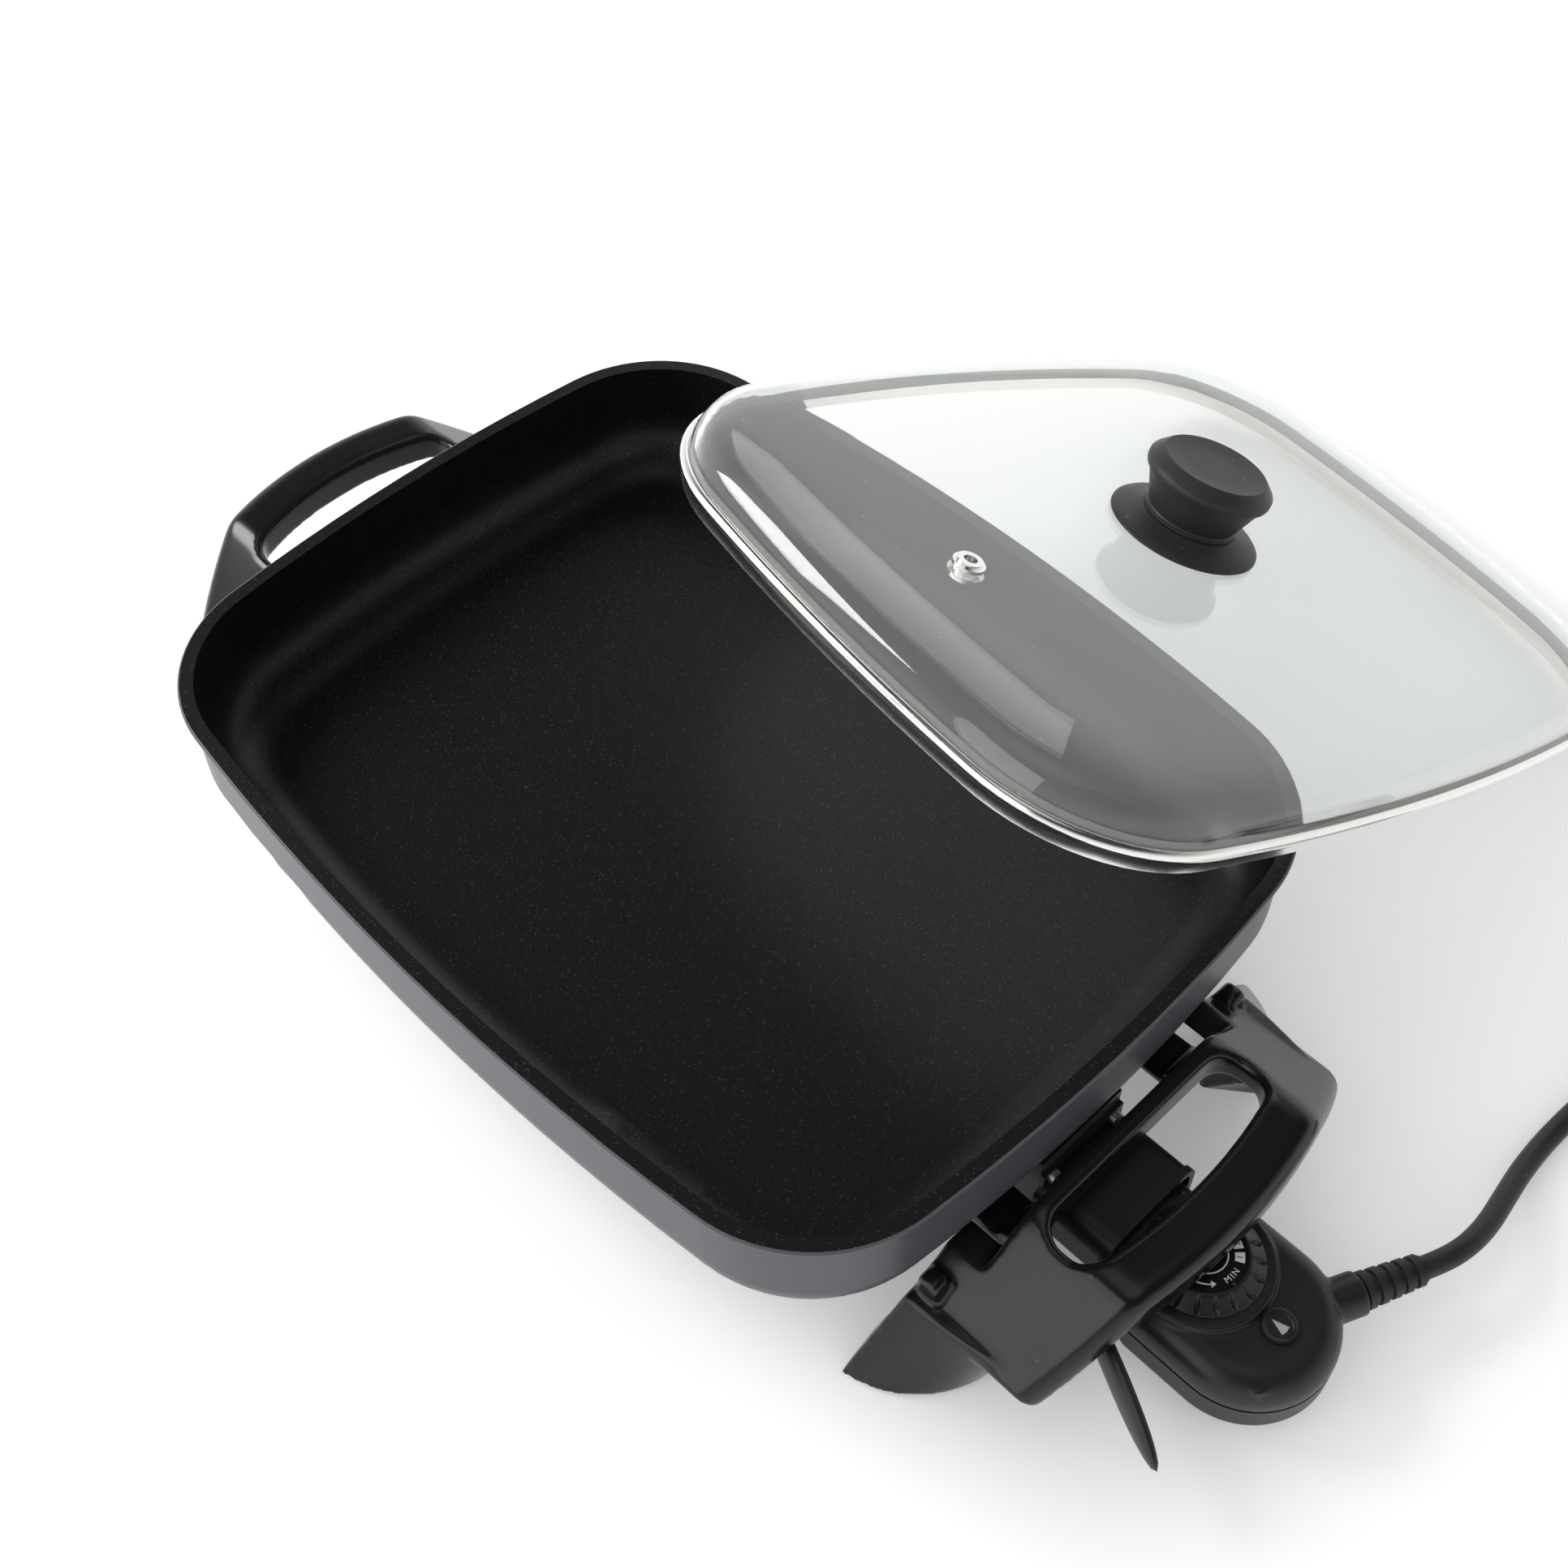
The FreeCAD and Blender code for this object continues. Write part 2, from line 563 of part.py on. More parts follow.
def make_bracket(reach, radius, opening_x):
    inner_x = RIM_HALF_X + HANDLE_GAP
    ring = arch_solid(inner_x, reach + 1)
    ring = ring.common(plan_prism(inner_x, reach, radius, CREASE_Y + 1, 0, 90))
    top_edges = []
    for e in ring.Edges:
        mid = e.valueAt((e.FirstParameter + e.LastParameter) / 2)
        on_arc = abs(mid.x - edge_x(reach, radius, mid.y)) < 0.2
        if on_arc and mid.z > CREASE_Z + 3 and abs(mid.y) < CREASE_Y - 6:
            over = HANDLE_TOP_Z - max(0, abs(mid.y) - HANDLE_HALF_FLAT)
            if mid.z > over - 5:
                top_edges.append(e)
    ring = ring.makeFillet(TOP_EDGE_R, top_edges)
    ring = ring.cut(handle_opening(opening_x, reach, radius))
    lips = []
    for e in ring.Edges:
        b = e.BoundBox
        if b.ZMin > HANDLE_TOP_Z - 1.2 and b.XMin > opening_x - 0.5 and b.XMax < reach - BAR_WIDTH + 0.5:
            lips.append(e)
    ring = ring.makeFillet(LIP_R, lips)
    under = HANDLE_TOP_Z - HANDLE_THICK
    ring = ring.cut(handle_pocket(reach, radius, COVER_INSET, under - 1, under + COVER_THICK))
    ring = ring.cut(handle_pocket(reach, radius, COVER_INSET + COVER_LEDGE, under, under + POCKET_DEPTH))
    shelf_z = PAN_BOTTOM - SHELF_DROP
    shelf = arch_solid(SHELF_X, inner_x)
    shelf = shelf.common(box(SHELF_X - 1, -CREASE_Y, 0, inner_x + 1, CREASE_Y, shelf_z))
    parts = [s for s in shelf.Solids]
    for side in (-1, 1):
        y0 = side * MOUNT_Y - ARM_WIDTH / 2
        arm_top = PAN_BOTTOM - MOUNT_BOSS_LEN
        arm = polygon_prism([(ARM_END_X, y0, arm_top - ARM_THICK), (inner_x, y0, arm_top - ARM_THICK),
                             (inner_x + 5, y0, arm_top), (inner_x + 5, y0, under + 3),
                             (inner_x, y0, under + 3), (inner_x - 6, y0, arm_top), (ARM_END_X, y0, arm_top)],
                            V(0, ARM_WIDTH, 0))
        arm = arm.cut(cylinder(SCREW_R + SCREW_GAP, ARM_THICK + 2, (MOUNT_X, side * MOUNT_Y,
                                                                    arm_top - ARM_THICK - 1)))
        parts.append(arm)
        clip_y = CLIP_Y if side > 0 else -CLIP_Y - CLIP_WIDTH
        clip = box(CLIP_X, clip_y, CLIP_Z0, CLIP_X + CLIP_LEN, clip_y + CLIP_WIDTH, CLIP_Z1)
        ends = [e for e in flat_edges(clip, CLIP_Z1) if e.BoundBox.YLength > CLIP_WIDTH - 1]
        clip = clip.makeFillet(CLIP_R, ends)
        parts.append(clip)
    leg = make_leg()
    parts.extend([leg, mirror_y(leg)])
    bracket = ring.fuse(parts)
    for x, y in PAD_PLACES:
        for side in (-1, 1):
            bracket = bracket.cut(cylinder(PAD_R + PAD_GAP, PAD_THICK - FOOT_Z, (x, side * y, FOOT_Z)))
    return bracket.removeSplitter()


def make_pads():
    pads = []
    for x, y in PAD_PLACES:
        for side in (-1, 1):
            pad = cylinder(PAD_R, PAD_THICK, (x, side * y, 0))
            pads.append(pad.makeChamfer(0.6, [e for e in pad.Edges if e.BoundBox.ZMax < 0.1]))
    return Part.makeCompound(pads)


def make_cover(reach, radius):
    under = HANDLE_TOP_Z - HANDLE_THICK
    outer = plan_prism(0, reach - COVER_INSET - COVER_GAP, radius - COVER_INSET - COVER_GAP,
                       OPENING_HALF - 10 - COVER_GAP, under, under + COVER_THICK)
    inner = plan_prism(0, reach - BAR_WIDTH + COVER_INSET + COVER_GAP,
                       radius - BAR_WIDTH + COVER_INSET + COVER_GAP,
                       OPENING_HALF - 9, under - 1, under + COVER_THICK + 1)
    return outer.cut(inner)


def make_bracket_screws():
    screws = []
    arm_low = PAN_BOTTOM - MOUNT_BOSS_LEN - ARM_THICK
    for side in (-1, 1):
        head = cylinder(SCREW_HEAD_R, SCREW_HEAD, (MOUNT_X, side * MOUNT_Y, arm_low - SCREW_HEAD))
        shank = cylinder(SCREW_R, ARM_THICK + MOUNT_BOSS_LEN - 1, (MOUNT_X, side * MOUNT_Y, arm_low))
        screws.append(head.fuse(shank))
    return Part.makeCompound(screws)


def to_rear(shape):
    return shape.mirror(V(0, 0, 0), V(1, 0, 0))


def lid_block(inset, z0, z1):
    return rim_block(LID_HALF_X, RIM_HALF_Y, LID_CORNER_R, inset, z0, z1)


def lid_ring(inset0, inset1, z0, z1):
    return lid_block(inset0, z0, z1).cut(lid_block(inset1, z0, z1))


def make_band():
    flange = lid_ring(0, BAND_FLANGE, 0, BAND_THICK)
    skirt = lid_ring(BAND_SKIRT_INSET, BAND_SKIRT_INSET + BAND_THICK, -BAND_SKIRT, 0)
    collar = lid_ring(COLLAR_INSET, COLLAR_INSET + BAND_THICK, BAND_THICK, COLLAR_HEIGHT)
    back = lid_ring(COLLAR_INSET, COLLAR_INSET + BAND_THICK + COLLAR_RETURN, COLLAR_HEIGHT,
                    COLLAR_HEIGHT + BAND_THICK)
    return flange.fuse([skirt, collar, back]).removeSplitter()


def make_seal():
    return lid_ring(SEAL_INSET, SEAL_INSET + SEAL_THICK, BAND_THICK, COLLAR_HEIGHT - 0.1)


def glass_form(inset, z0, z_top, shoulder):
    block = lid_block(inset, z0, GLASS_TOP + 5)
    form = block.common(Part.makeSphere(GLASS_DOME_R, V(0, 0, z_top - GLASS_DOME_R)))
    top_edges = [e for e in form.Edges if e.BoundBox.ZMin > z_top - 9]
    return form.makeFillet(shoulder, top_edges)


def glass_height(x):
    return GLASS_TOP - GLASS_DOME_R + math.sqrt(GLASS_DOME_R ** 2 - x ** 2)


def make_glass():
    edge = lid_block(GLASS_INSET, BAND_THICK, BAND_THICK + GLASS_THICK)
    outer = glass_form(GLASS_WALL_INSET - GLASS_THICK, BAND_THICK, GLASS_TOP, GLASS_SHOULDER_R)
    inner = glass_form(GLASS_WALL_INSET, BAND_THICK - 1, GLASS_TOP - GLASS_THICK,
                       GLASS_SHOULDER_R - GLASS_THICK)
    glass = edge.fuse(outer).cut(inner)
    glass = glass.cut(cylinder(SCREW_R + 0.6, 20, (0, 0, GLASS_TOP - 12)))
    glass = glass.cut(cylinder(VENT_TUBE_R + 0.3, 20, (VENT_X, 0, GLASS_TOP - 12)))
    return glass.removeSplitter()


def make_knob():
    base_z = GLASS_TOP + SEAT_GAP
    foot = cylinder(KNOB_FOOT_R, KNOB_FOOT_HEIGHT, (0, 0, base_z))
    foot = foot.makeChamfer(KNOB_FOOT_CHAMFER, flat_edges(foot, base_z + KNOB_FOOT_HEIGHT))
    hole = cylinder(SCREW_R + SCREW_GAP, 80, (0, 0, base_z - 1))
    neck_z = base_z + KNOB_FOOT_HEIGHT
    lip = cylinder(KNOB_LIP_R, KNOB_LIP_HEIGHT, (0, 0, neck_z))
    neck = Part.makeCone(KNOB_NECK_R0, KNOB_NECK_R1, KNOB_NECK_HEIGHT, V(0, 0, neck_z))
    cap_z = neck_z + KNOB_NECK_HEIGHT
    cap = cylinder(KNOB_CAP_R, KNOB_CAP_HEIGHT, (0, 0, cap_z))
    cap = cap.makeChamfer(KNOB_CAP_CHAMFER, flat_edges(cap, cap_z + KNOB_CAP_HEIGHT) + flat_edges(cap, cap_z))
    cap = cap.cut(cylinder(KNOB_DISH_R, KNOB_DISH_DEPTH, (0, 0, cap_z + KNOB_CAP_HEIGHT - KNOB_DISH_DEPTH)))
    return foot.cut(hole), lip.fuse(neck).cut(hole), cap


def make_knob_fixings():
    under = GLASS_TOP - GLASS_THICK
    seal_z = under - KNOB_SEAL_THICK - SEAT_GAP
    hole = cylinder(SCREW_R + SCREW_GAP, 20, (0, 0, seal_z - 5))
    seal = cylinder(KNOB_SEAL_R, KNOB_SEAL_THICK, (0, 0, seal_z)).cut(hole)
    washer = cylinder(WASHER_R, WASHER_THICK, (0, 0, seal_z - WASHER_THICK)).cut(hole)
    head_z = seal_z - WASHER_THICK - SCREW_HEAD
    screw = cylinder(SCREW_HEAD_R, SCREW_HEAD, (0, 0, head_z))
    screw = screw.fuse(cylinder(SCREW_R, SCREW_HEAD + KNOB_SCREW_LEN - 6, (0, 0, head_z)))
    return seal, washer, screw


def make_vent():
    near = abs(VENT_X) - VENT_RING_R
    top = glass_height(near) + SEAT_GAP
    far = abs(VENT_X) + VENT_COLLAR_R
    low = glass_height(far) - GLASS_THICK - SEAT_GAP
    ring = cylinder(VENT_RING_R, VENT_RING_THICK, (VENT_X, 0, top))
    upper = cylinder(VENT_UPPER_R, VENT_UPPER_THICK, (VENT_X, 0, top + VENT_RING_THICK))
    tube_z = low - VENT_COLLAR_THICK - 1
    tube = cylinder(VENT_TUBE_R, top - tube_z, (VENT_X, 0, tube_z))
    bore = cylinder(VENT_BORE_R, 30, (VENT_X, 0, tube_z - 1))
    vent = ring.fuse([upper, tube]).cut(bore)
    collar = cylinder(VENT_COLLAR_R, VENT_COLLAR_THICK, (VENT_X, 0, low - VENT_COLLAR_THICK))
    collar = collar.cut(cylinder(VENT_TUBE_R + SEAT_GAP, 10, (VENT_X, 0, low - 5)))
    return vent, collar


def set_lid(shape):
    placed = shape.copy()
    turn = FreeCAD.Rotation(LID_YAW, LID_PITCH, LID_ROLL)
    placed.Placement = FreeCAD.Placement(V(*LID_AT), turn).multiply(placed.Placement)
    return placed


def body_plan(inset, z0, z1):
    r = BODY_R - inset
    back = BODY_BACK_X + inset
    wire = Part.Wire([
        line((back, SOCKET_Y - r, z0), (BODY_CENTRE_X, SOCKET_Y - r, z0)),
        arc_through((BODY_CENTRE_X, SOCKET_Y - r, z0), (BODY_CENTRE_X + r, SOCKET_Y, z0),
                    (BODY_CENTRE_X, SOCKET_Y + r, z0)),
        line((BODY_CENTRE_X, SOCKET_Y + r, z0), (back, SOCKET_Y + r, z0)),
        line((back, SOCKET_Y + r, z0), (back, SOCKET_Y - r, z0)),
    ])
    block = Part.Face(wire).extrude(V(0, 0, z1 - z0))
    posts = [e for e in block.Edges if e.BoundBox.ZLength > z1 - z0 - 0.1 and e.BoundBox.XMax < back + 0.1]
    return block.makeFillet(BODY_BACK_R - inset, posts)


def relief_axis():
    a = math.radians(RELIEF_ANGLE)
    return V(math.cos(a), math.sin(a), 0)


def make_upper_housing():
    body = body_plan(0, BODY_SPLIT_Z, BODY_TOP_Z)
    body = body.makeFillet(BODY_TOP_R, flat_edges(body, BODY_TOP_Z))
    turret = cylinder(TURRET_R, TURRET_Z - BODY_SPLIT_Z, (DIAL_X, SOCKET_Y, BODY_SPLIT_Z))
    nose = box(NOSE_X, SOCKET_Y - NOSE_HALF, SOCKET_Z - NOSE_HALF_Z, BODY_BACK_X + 6,
               SOCKET_Y + NOSE_HALF, SOCKET_Z + NOSE_HALF_Z)
    nose = nose.makeFillet(NOSE_CORNER_R, [e for e in nose.Edges if e.BoundBox.XLength > 30])
    boss_from = V(*RELIEF_ROOT) - relief_axis() * BOSS_LEN
    boss = Part.makeCylinder(BOSS_R, BOSS_LEN, boss_from, relief_axis())
    above = box(NOSE_X, -100, BODY_SPLIT_Z, 340, 100, 60)
    body = body.fuse([turret, nose, boss.common(above)])
    roof = BODY_TOP_Z - BODY_WALL
    hollow = body_plan(BODY_WALL, BODY_SPLIT_Z - 1, roof)
    body = body.cut(hollow.makeFillet(BODY_TOP_R - BODY_WALL, flat_edges(hollow, roof)))
    posts = [cylinder(POST_R, BODY_TOP_Z - BODY_WALL - BODY_SPLIT_Z + 0.5,
                      (x, SOCKET_Y + y, BODY_SPLIT_Z)) for x, y in POSTS]
    body = body.fuse(posts)
    for x, y in POSTS:
        body = body.cut(cylinder(HOUSING_SCREW_R + SCREW_GAP, 9, (x, SOCKET_Y + y, BODY_SPLIT_Z)))
    for side in (-1, 1):
        at = (NOSE_X - 1, SOCKET_Y + side * TERMINAL_PITCH / 2, SOCKET_Z)
        body = body.cut(cylinder(CONTACT_R + CONTACT_GAP, 60, at, V(1, 0, 0)))
    body = body.cut(cylinder(ROD_R + SEAT_GAP, 60, (NOSE_X - 1, SOCKET_Y, SOCKET_Z), V(1, 0, 0)))
    body = body.cut(cylinder(SHAFT_R + SHAFT_GAP, 30, (DIAL_X, SOCKET_Y, BODY_SPLIT_Z)))
    body = body.cut(cylinder(LENS_STEM_R + SEAT_GAP, 30, (LENS_X, SOCKET_Y, BODY_SPLIT_Z)))
    return body.removeSplitter()


def make_lower_housing():
    body = body_plan(0, BODY_BOTTOM_Z, BODY_SPLIT_Z)
    body = body.makeFillet(BODY_BOTTOM_R, flat_edges(body, BODY_BOTTOM_Z))
    boss_from = V(*RELIEF_ROOT) - relief_axis() * BOSS_LEN
    boss = Part.makeCylinder(BOSS_R, BOSS_LEN, boss_from, relief_axis())
    below = box(NOSE_X, -100, 0, 340, 100, BODY_SPLIT_Z)
    body = body.fuse(boss.common(below))
    body = body.cut(body_plan(BODY_WALL, BODY_BOTTOM_Z + BODY_WALL, BODY_SPLIT_Z + 1))
    posts = [cylinder(POST_R, BODY_SPLIT_Z - BODY_BOTTOM_Z - 1, (x, SOCKET_Y + y,
                                                                 BODY_BOTTOM_Z + 1)) for x, y in POSTS]
    body = body.fuse(posts)
    for x, y in POSTS:
        body = body.cut(cylinder(HOUSING_SCREW_R + SCREW_GAP, 20, (x, SOCKET_Y + y, BODY_BOTTOM_Z)))
        body = body.cut(cylinder(HOUSING_HEAD_R + SCREW_GAP, HOUSING_HEAD, (x, SOCKET_Y + y, BODY_BOTTOM_Z)))
    return body.removeSplitter()


def make_housing_screws():
    screws = []
    for x, y in POSTS:
        head = cylinder(HOUSING_HEAD_R, HOUSING_HEAD, (x, SOCKET_Y + y, BODY_BOTTOM_Z))
        shank = cylinder(HOUSING_SCREW_R, BODY_SPLIT_Z - BODY_BOTTOM_Z + 8, (x, SOCKET_Y + y, BODY_BOTTOM_Z))
        screws.append(head.fuse(shank))
    return Part.makeCompound(screws)


def make_contacts():
    sleeves = []
    for side in (-1, 1):
        at = (NOSE_X + 1, SOCKET_Y + side * TERMINAL_PITCH / 2, SOCKET_Z)
        sleeve = cylinder(CONTACT_R, CONTACT_LEN, at, V(1, 0, 0))
        sleeves.append(sleeve.cut(cylinder(CONTACT_BORE_R, CONTACT_LEN - 6, at, V(1, 0, 0))))
    return Part.makeCompound(sleeves)


def make_rod():
    rod = cylinder(ROD_R, BODY_BACK_X + 4 - ROD_TIP_X, (ROD_TIP_X, SOCKET_Y, SOCKET_Z), V(1, 0, 0))
    return rod.makeFillet(2.0, [e for e in rod.Edges if e.BoundBox.XMax < ROD_TIP_X + 0.1])


def make_inner_parts():
    floor = BODY_BOTTOM_Z + BODY_WALL
    x0 = BODY_BACK_X + BODY_WALL + 0.5
    frame = box(x0, SOCKET_Y - FRAME_HALF, floor, x0 + FRAME_LEN, SOCKET_Y + FRAME_HALF, floor + FRAME_THICK)
    post = box(x0, SOCKET_Y - FRAME_HALF, floor, x0 + FRAME_THICK, SOCKET_Y + FRAME_HALF, BLADE_Z)
    frame = frame.fuse(post).removeSplitter()
    blade = box(x0, SOCKET_Y - BLADE_HALF, BLADE_Z, x0 + FRAME_LEN - 2, SOCKET_Y + BLADE_HALF,
                BLADE_Z + BLADE_THICK)
    block = box(BLOCK_X0, SOCKET_Y - BLOCK_HALF, floor, BLOCK_X1, SOCKET_Y + BLOCK_HALF, BLOCK_TOP_Z)
    block = block.cut(box(BLOCK_X0 + 3, SOCKET_Y - 2, floor + 5, BLOCK_X1 + 1, SOCKET_Y + 2, BLOCK_TOP_Z - 3))
    clamp_y = SOCKET_Y + BLOCK_HALF + 0.5
    clamp = box(CLAMP_X0, clamp_y, floor, CLAMP_X0 + CLAMP_LEN, clamp_y + CLAMP_WIDTH, floor + CLAMP_HEIGHT)
    lens_z = BODY_TOP_Z
    stem_low = BODY_TOP_Z - BODY_WALL
    lens = cylinder(LENS_R, LENS_HEIGHT, (LENS_X, SOCKET_Y, lens_z))
    lens = lens.makeFillet(0.8, flat_edges(lens, lens_z + LENS_HEIGHT))
    lens = lens.fuse(cylinder(LENS_STEM_R, lens_z - stem_low, (LENS_X, SOCKET_Y, stem_low)))
    lamp = cylinder(LAMP_R, stem_low - BLOCK_TOP_Z, (LENS_X, SOCKET_Y, BLOCK_TOP_Z))
    return frame, blade, block, clamp, lens, lamp


def make_dial():
    z0 = TURRET_Z + DIAL_GAP
    ring = cylinder(DIAL_R, DIAL_HEIGHT, (DIAL_X, SOCKET_Y, z0))
    ring = ring.makeFillet(1.6, flat_edges(ring, z0 + DIAL_HEIGHT))
    for i in range(DIAL_GRIPS):
        a = 2 * math.pi * i / DIAL_GRIPS
        groove = cylinder(GRIP_R, DIAL_HEIGHT, (DIAL_X + DIAL_R * math.cos(a),
                                                SOCKET_Y + DIAL_R * math.sin(a), z0))
        ring = ring.cut(groove)
    recess_z = z0 + DIAL_HEIGHT - DIAL_RECESS
    ring = ring.cut(cylinder(DIAL_RECESS_R, DIAL_RECESS + 1, (DIAL_X, SOCKET_Y, recess_z)))
    ring = ring.cut(cylinder(SHAFT_R + SHAFT_GAP, DIAL_HEIGHT - 2, (DIAL_X, SOCKET_Y, z0)))
    face = cylinder(DIAL_RECESS_R - DIAL_FACE_GAP, DIAL_RECESS - 0.1, (DIAL_X, SOCKET_Y, recess_z))
    shaft = cylinder(SHAFT_R, z0 + DIAL_HEIGHT - 2 - SHAFT_END_Z, (DIAL_X, SOCKET_Y, SHAFT_END_Z))
    return ring, face, shaft


def make_lever():
    # Upright blade, swelling from the eye and closing to a rounded point.
    mid_z = (LEVER_Z0 + LEVER_Z1) / 2
    side = Part.Wire([
        arc_through((0, 0, LEVER_Z0), (0.56 * LEVER_LEN, 0, LEVER_Z0 - LEVER_DIP), (LEVER_LEN, 0, mid_z - 3)),
        arc_through((LEVER_LEN, 0, mid_z - 3), (LEVER_LEN + 2.4, 0, mid_z), (LEVER_LEN, 0, mid_z + 3)),
        arc_through((LEVER_LEN, 0, mid_z + 3), (0.56 * LEVER_LEN, 0, LEVER_Z1 - LEVER_TOP_DROP),
                    (0, 0, LEVER_Z1)),
        line((0, 0, LEVER_Z1), (0, 0, LEVER_Z0)),
    ])
    blade = Part.Face(side).extrude(V(0, LEVER_THICK, 0))
    blade.translate(V(0, -LEVER_THICK / 2, 0))
    eye = cylinder(LEVER_EYE_R, LEVER_Z1 - LEVER_Z0, (0, 0, LEVER_Z0))
    lever = blade.fuse(eye).cut(cylinder(PIN_R + PIN_GAP, 60, (0, 0, 0)))
    lever.rotate(V(0, 0, 0), V(0, 0, 1), LEVER_ANGLE)
    lever.translate(V(LEVER_PIVOT[0], LEVER_PIVOT[1], 0))
    return lever.removeSplitter()


def add_lever_boss(bracket):
    low = LEVER_Z1 + LEVER_END_GAP
    under = HANDLE_TOP_Z - HANDLE_THICK
    boss = cylinder(LEVER_EYE_R, under - low + 1, (LEVER_PIVOT[0], LEVER_PIVOT[1], low))
    hole = cylinder(PIN_R, under - low + PIN_SINK, (LEVER_PIVOT[0], LEVER_PIVOT[1], low))
    return bracket.fuse(boss).cut(hole)


def make_lever_pin():
    low = LEVER_Z0 - LEVER_DIP - LEVER_END_GAP
    top = HANDLE_TOP_Z - HANDLE_THICK + PIN_SINK
    pin = cylinder(PIN_R, top - low, (LEVER_PIVOT[0], LEVER_PIVOT[1], low))
    return pin.fuse(cylinder(PIN_HEAD_R, PIN_HEAD, (LEVER_PIVOT[0], LEVER_PIVOT[1], low - PIN_HEAD)))


def biarc(p0, t0, p1, t1):
    v = p1 - p0
    t = t0 + t1
    a = 2 * (t0.dot(t1) - 1)
    b = -2 * v.dot(t)
    c = v.dot(v)
    if abs(a) < 1e-9:
        d = -c / b
    else:
        d = (-b - math.sqrt(b * b - 4 * a * c)) / (2 * a)
        if d < 0:
            d = (-b + math.sqrt(b * b - 4 * a * c)) / (2 * a)
    joint = (p0 + t0 * d + p1 - t1 * d) * 0.5
    return [arc_from(p0, joint, p0 + t0 * d), arc_from(joint, p1, p1 - t1 * d)]


def arc_from(start, end, corner):
    chord = (start + end) * 0.5
    half = (end - start).Length / 2
    toward = corner - chord
    if toward.Length < 1e-7 * half:
        return Part.LineSegment(start, end).toShape()
    phi = math.atan2(toward.Length, half)
    toward.normalize()
    middle = chord + toward * (half * math.tan(phi / 2))
    return Part.Arc(start, middle, end).toShape()


def tube(edges, start, direction, radius):
    path = Part.Wire(edges)
    circle = Part.Wire(Part.makeCircle(radius, start, direction))
    return path.makePipeShell([circle], True, False)


def coil_state(theta):
    # theta in turns, 0 in the middle of the climb; the coil winds clockwise from above.
    half_turn = 0.25
    rise = min(1.0, max(0.0, (theta + half_turn) / (2 * half_turn)))
    rise = rise * rise * (3 - 2 * rise)
    away = abs(theta)
    if away < half_turn:
        away = (theta * theta / half_turn + half_turn) / 2
    radius = COIL_INNER_R + COIL_PITCH * away
    angle = math.pi / 2 - 2 * math.pi * theta
    z = CORD_R + CORD_FLOOR + COIL_LAYER * rise
    return V(COIL_CENTRE[0] + radius * math.cos(angle), COIL_CENTRE[1] + radius * math.sin(angle), z)


def coil_tangent(theta):
    h = 1e-5
    t = coil_state(theta + h) - coil_state(theta - h)
    t.normalize()
    return t


def make_coil():
    n = int(round(COIL_TURNS * 4))
    lows = [-COIL_TURNS / 2 + COIL_TURNS * i / n for i in range(n + 1)]
    start = coil_state(lows[0])
    end = coil_state(lows[-1])
    first = V(0, 1, 0)
    last = V(0, -1, 0)
    edges = [Part.LineSegment(start - first * COIL_LEAD, start).toShape()]
    for i in range(n):
        t0 = first if i == 0 else coil_tangent(lows[i])
        t1 = last if i == n - 1 else coil_tangent(lows[i + 1])
        edges.extend(biarc(coil_state(lows[i]), t0, coil_state(lows[i + 1]), t1))
    edges.append(Part.LineSegment(end, end + last * COIL_LEAD).toShape())
    solid = tube(edges, start - first * COIL_LEAD, first, CORD_R)
    length = sum(e.Length for e in edges)
    points = []
    run = 0.0
    for e in edges:
        count = max(2, int(e.Length / 2))
        for k in range(count):
            points.append((run + e.Length * k / count,
                           e.valueAt(e.FirstParameter + (e.LastParameter - e.FirstParameter) * k / count)))
        run += e.Length
    least = 1e9
    for i in range(len(points)):
        for j in range(i + 1, len(points)):
            if points[j][0] - points[i][0] > 8 * CORD_R:
                least = min(least, (points[j][1] - points[i][1]).Length)
    print("coil length", round(length, 1), "least self gap", round(least - 2 * CORD_R, 2),
          "section x length", round(length * math.pi * CORD_R ** 2, 0), "volume", round(solid.Volume, 0))
    return solid, start - first * COIL_LEAD, end + last * COIL_LEAD, length


def route_edges(points, label):
    pts = [V(*p) for p in points]
    edges = []
    at = pts[0]
    radii = []
    for i in range(1, len(pts) - 1):
        a = pts[i] - pts[i - 1]
        b = pts[i + 1] - pts[i]
        short = min(a.Length, b.Length)
        turn = a.getAngle(b)
        radius = 0.45 * short / math.tan(turn / 2)
        radii.append(round(radius, 1))
        cut = 0.45 * short
        a.normalize()
        b.normalize()
        begin = pts[i] - a * cut
        finish = pts[i] + b * cut
        edges.append(Part.LineSegment(at, begin).toShape())
        edges.append(arc_from(begin, finish, pts[i]))
        at = finish
    edges.append(Part.LineSegment(at, pts[-1]).toShape())
    length = sum(e.Length for e in edges)
    direction = pts[1] - pts[0]
    direction.normalize()
    solid = tube(edges, pts[0], direction, CORD_R)
    print(label, "length", round(length, 1), "radii", radii, "section x length",
          round(length * math.pi * CORD_R ** 2, 0), "volume", round(solid.Volume, 0))
    return solid, length


def make_relief():
    axis = relief_axis()
    root = V(*RELIEF_ROOT)
    core = Part.makeCone(RELIEF_R0 - RING_PROUD, RELIEF_R1 - 0.2, RELIEF_LEN, root, axis)
    rings = []
    for i in range(RELIEF_RINGS):
        along = (i + 0.15) * RELIEF_LEN / RELIEF_RINGS
        radius = RELIEF_R0 + (RELIEF_R1 + 0.6 - RELIEF_R0) * along / RELIEF_LEN
        rings.append(Part.makeCylinder(radius, RING_WIDTH, root + axis * along, axis))
    return core.fuse(rings).removeSplitter()


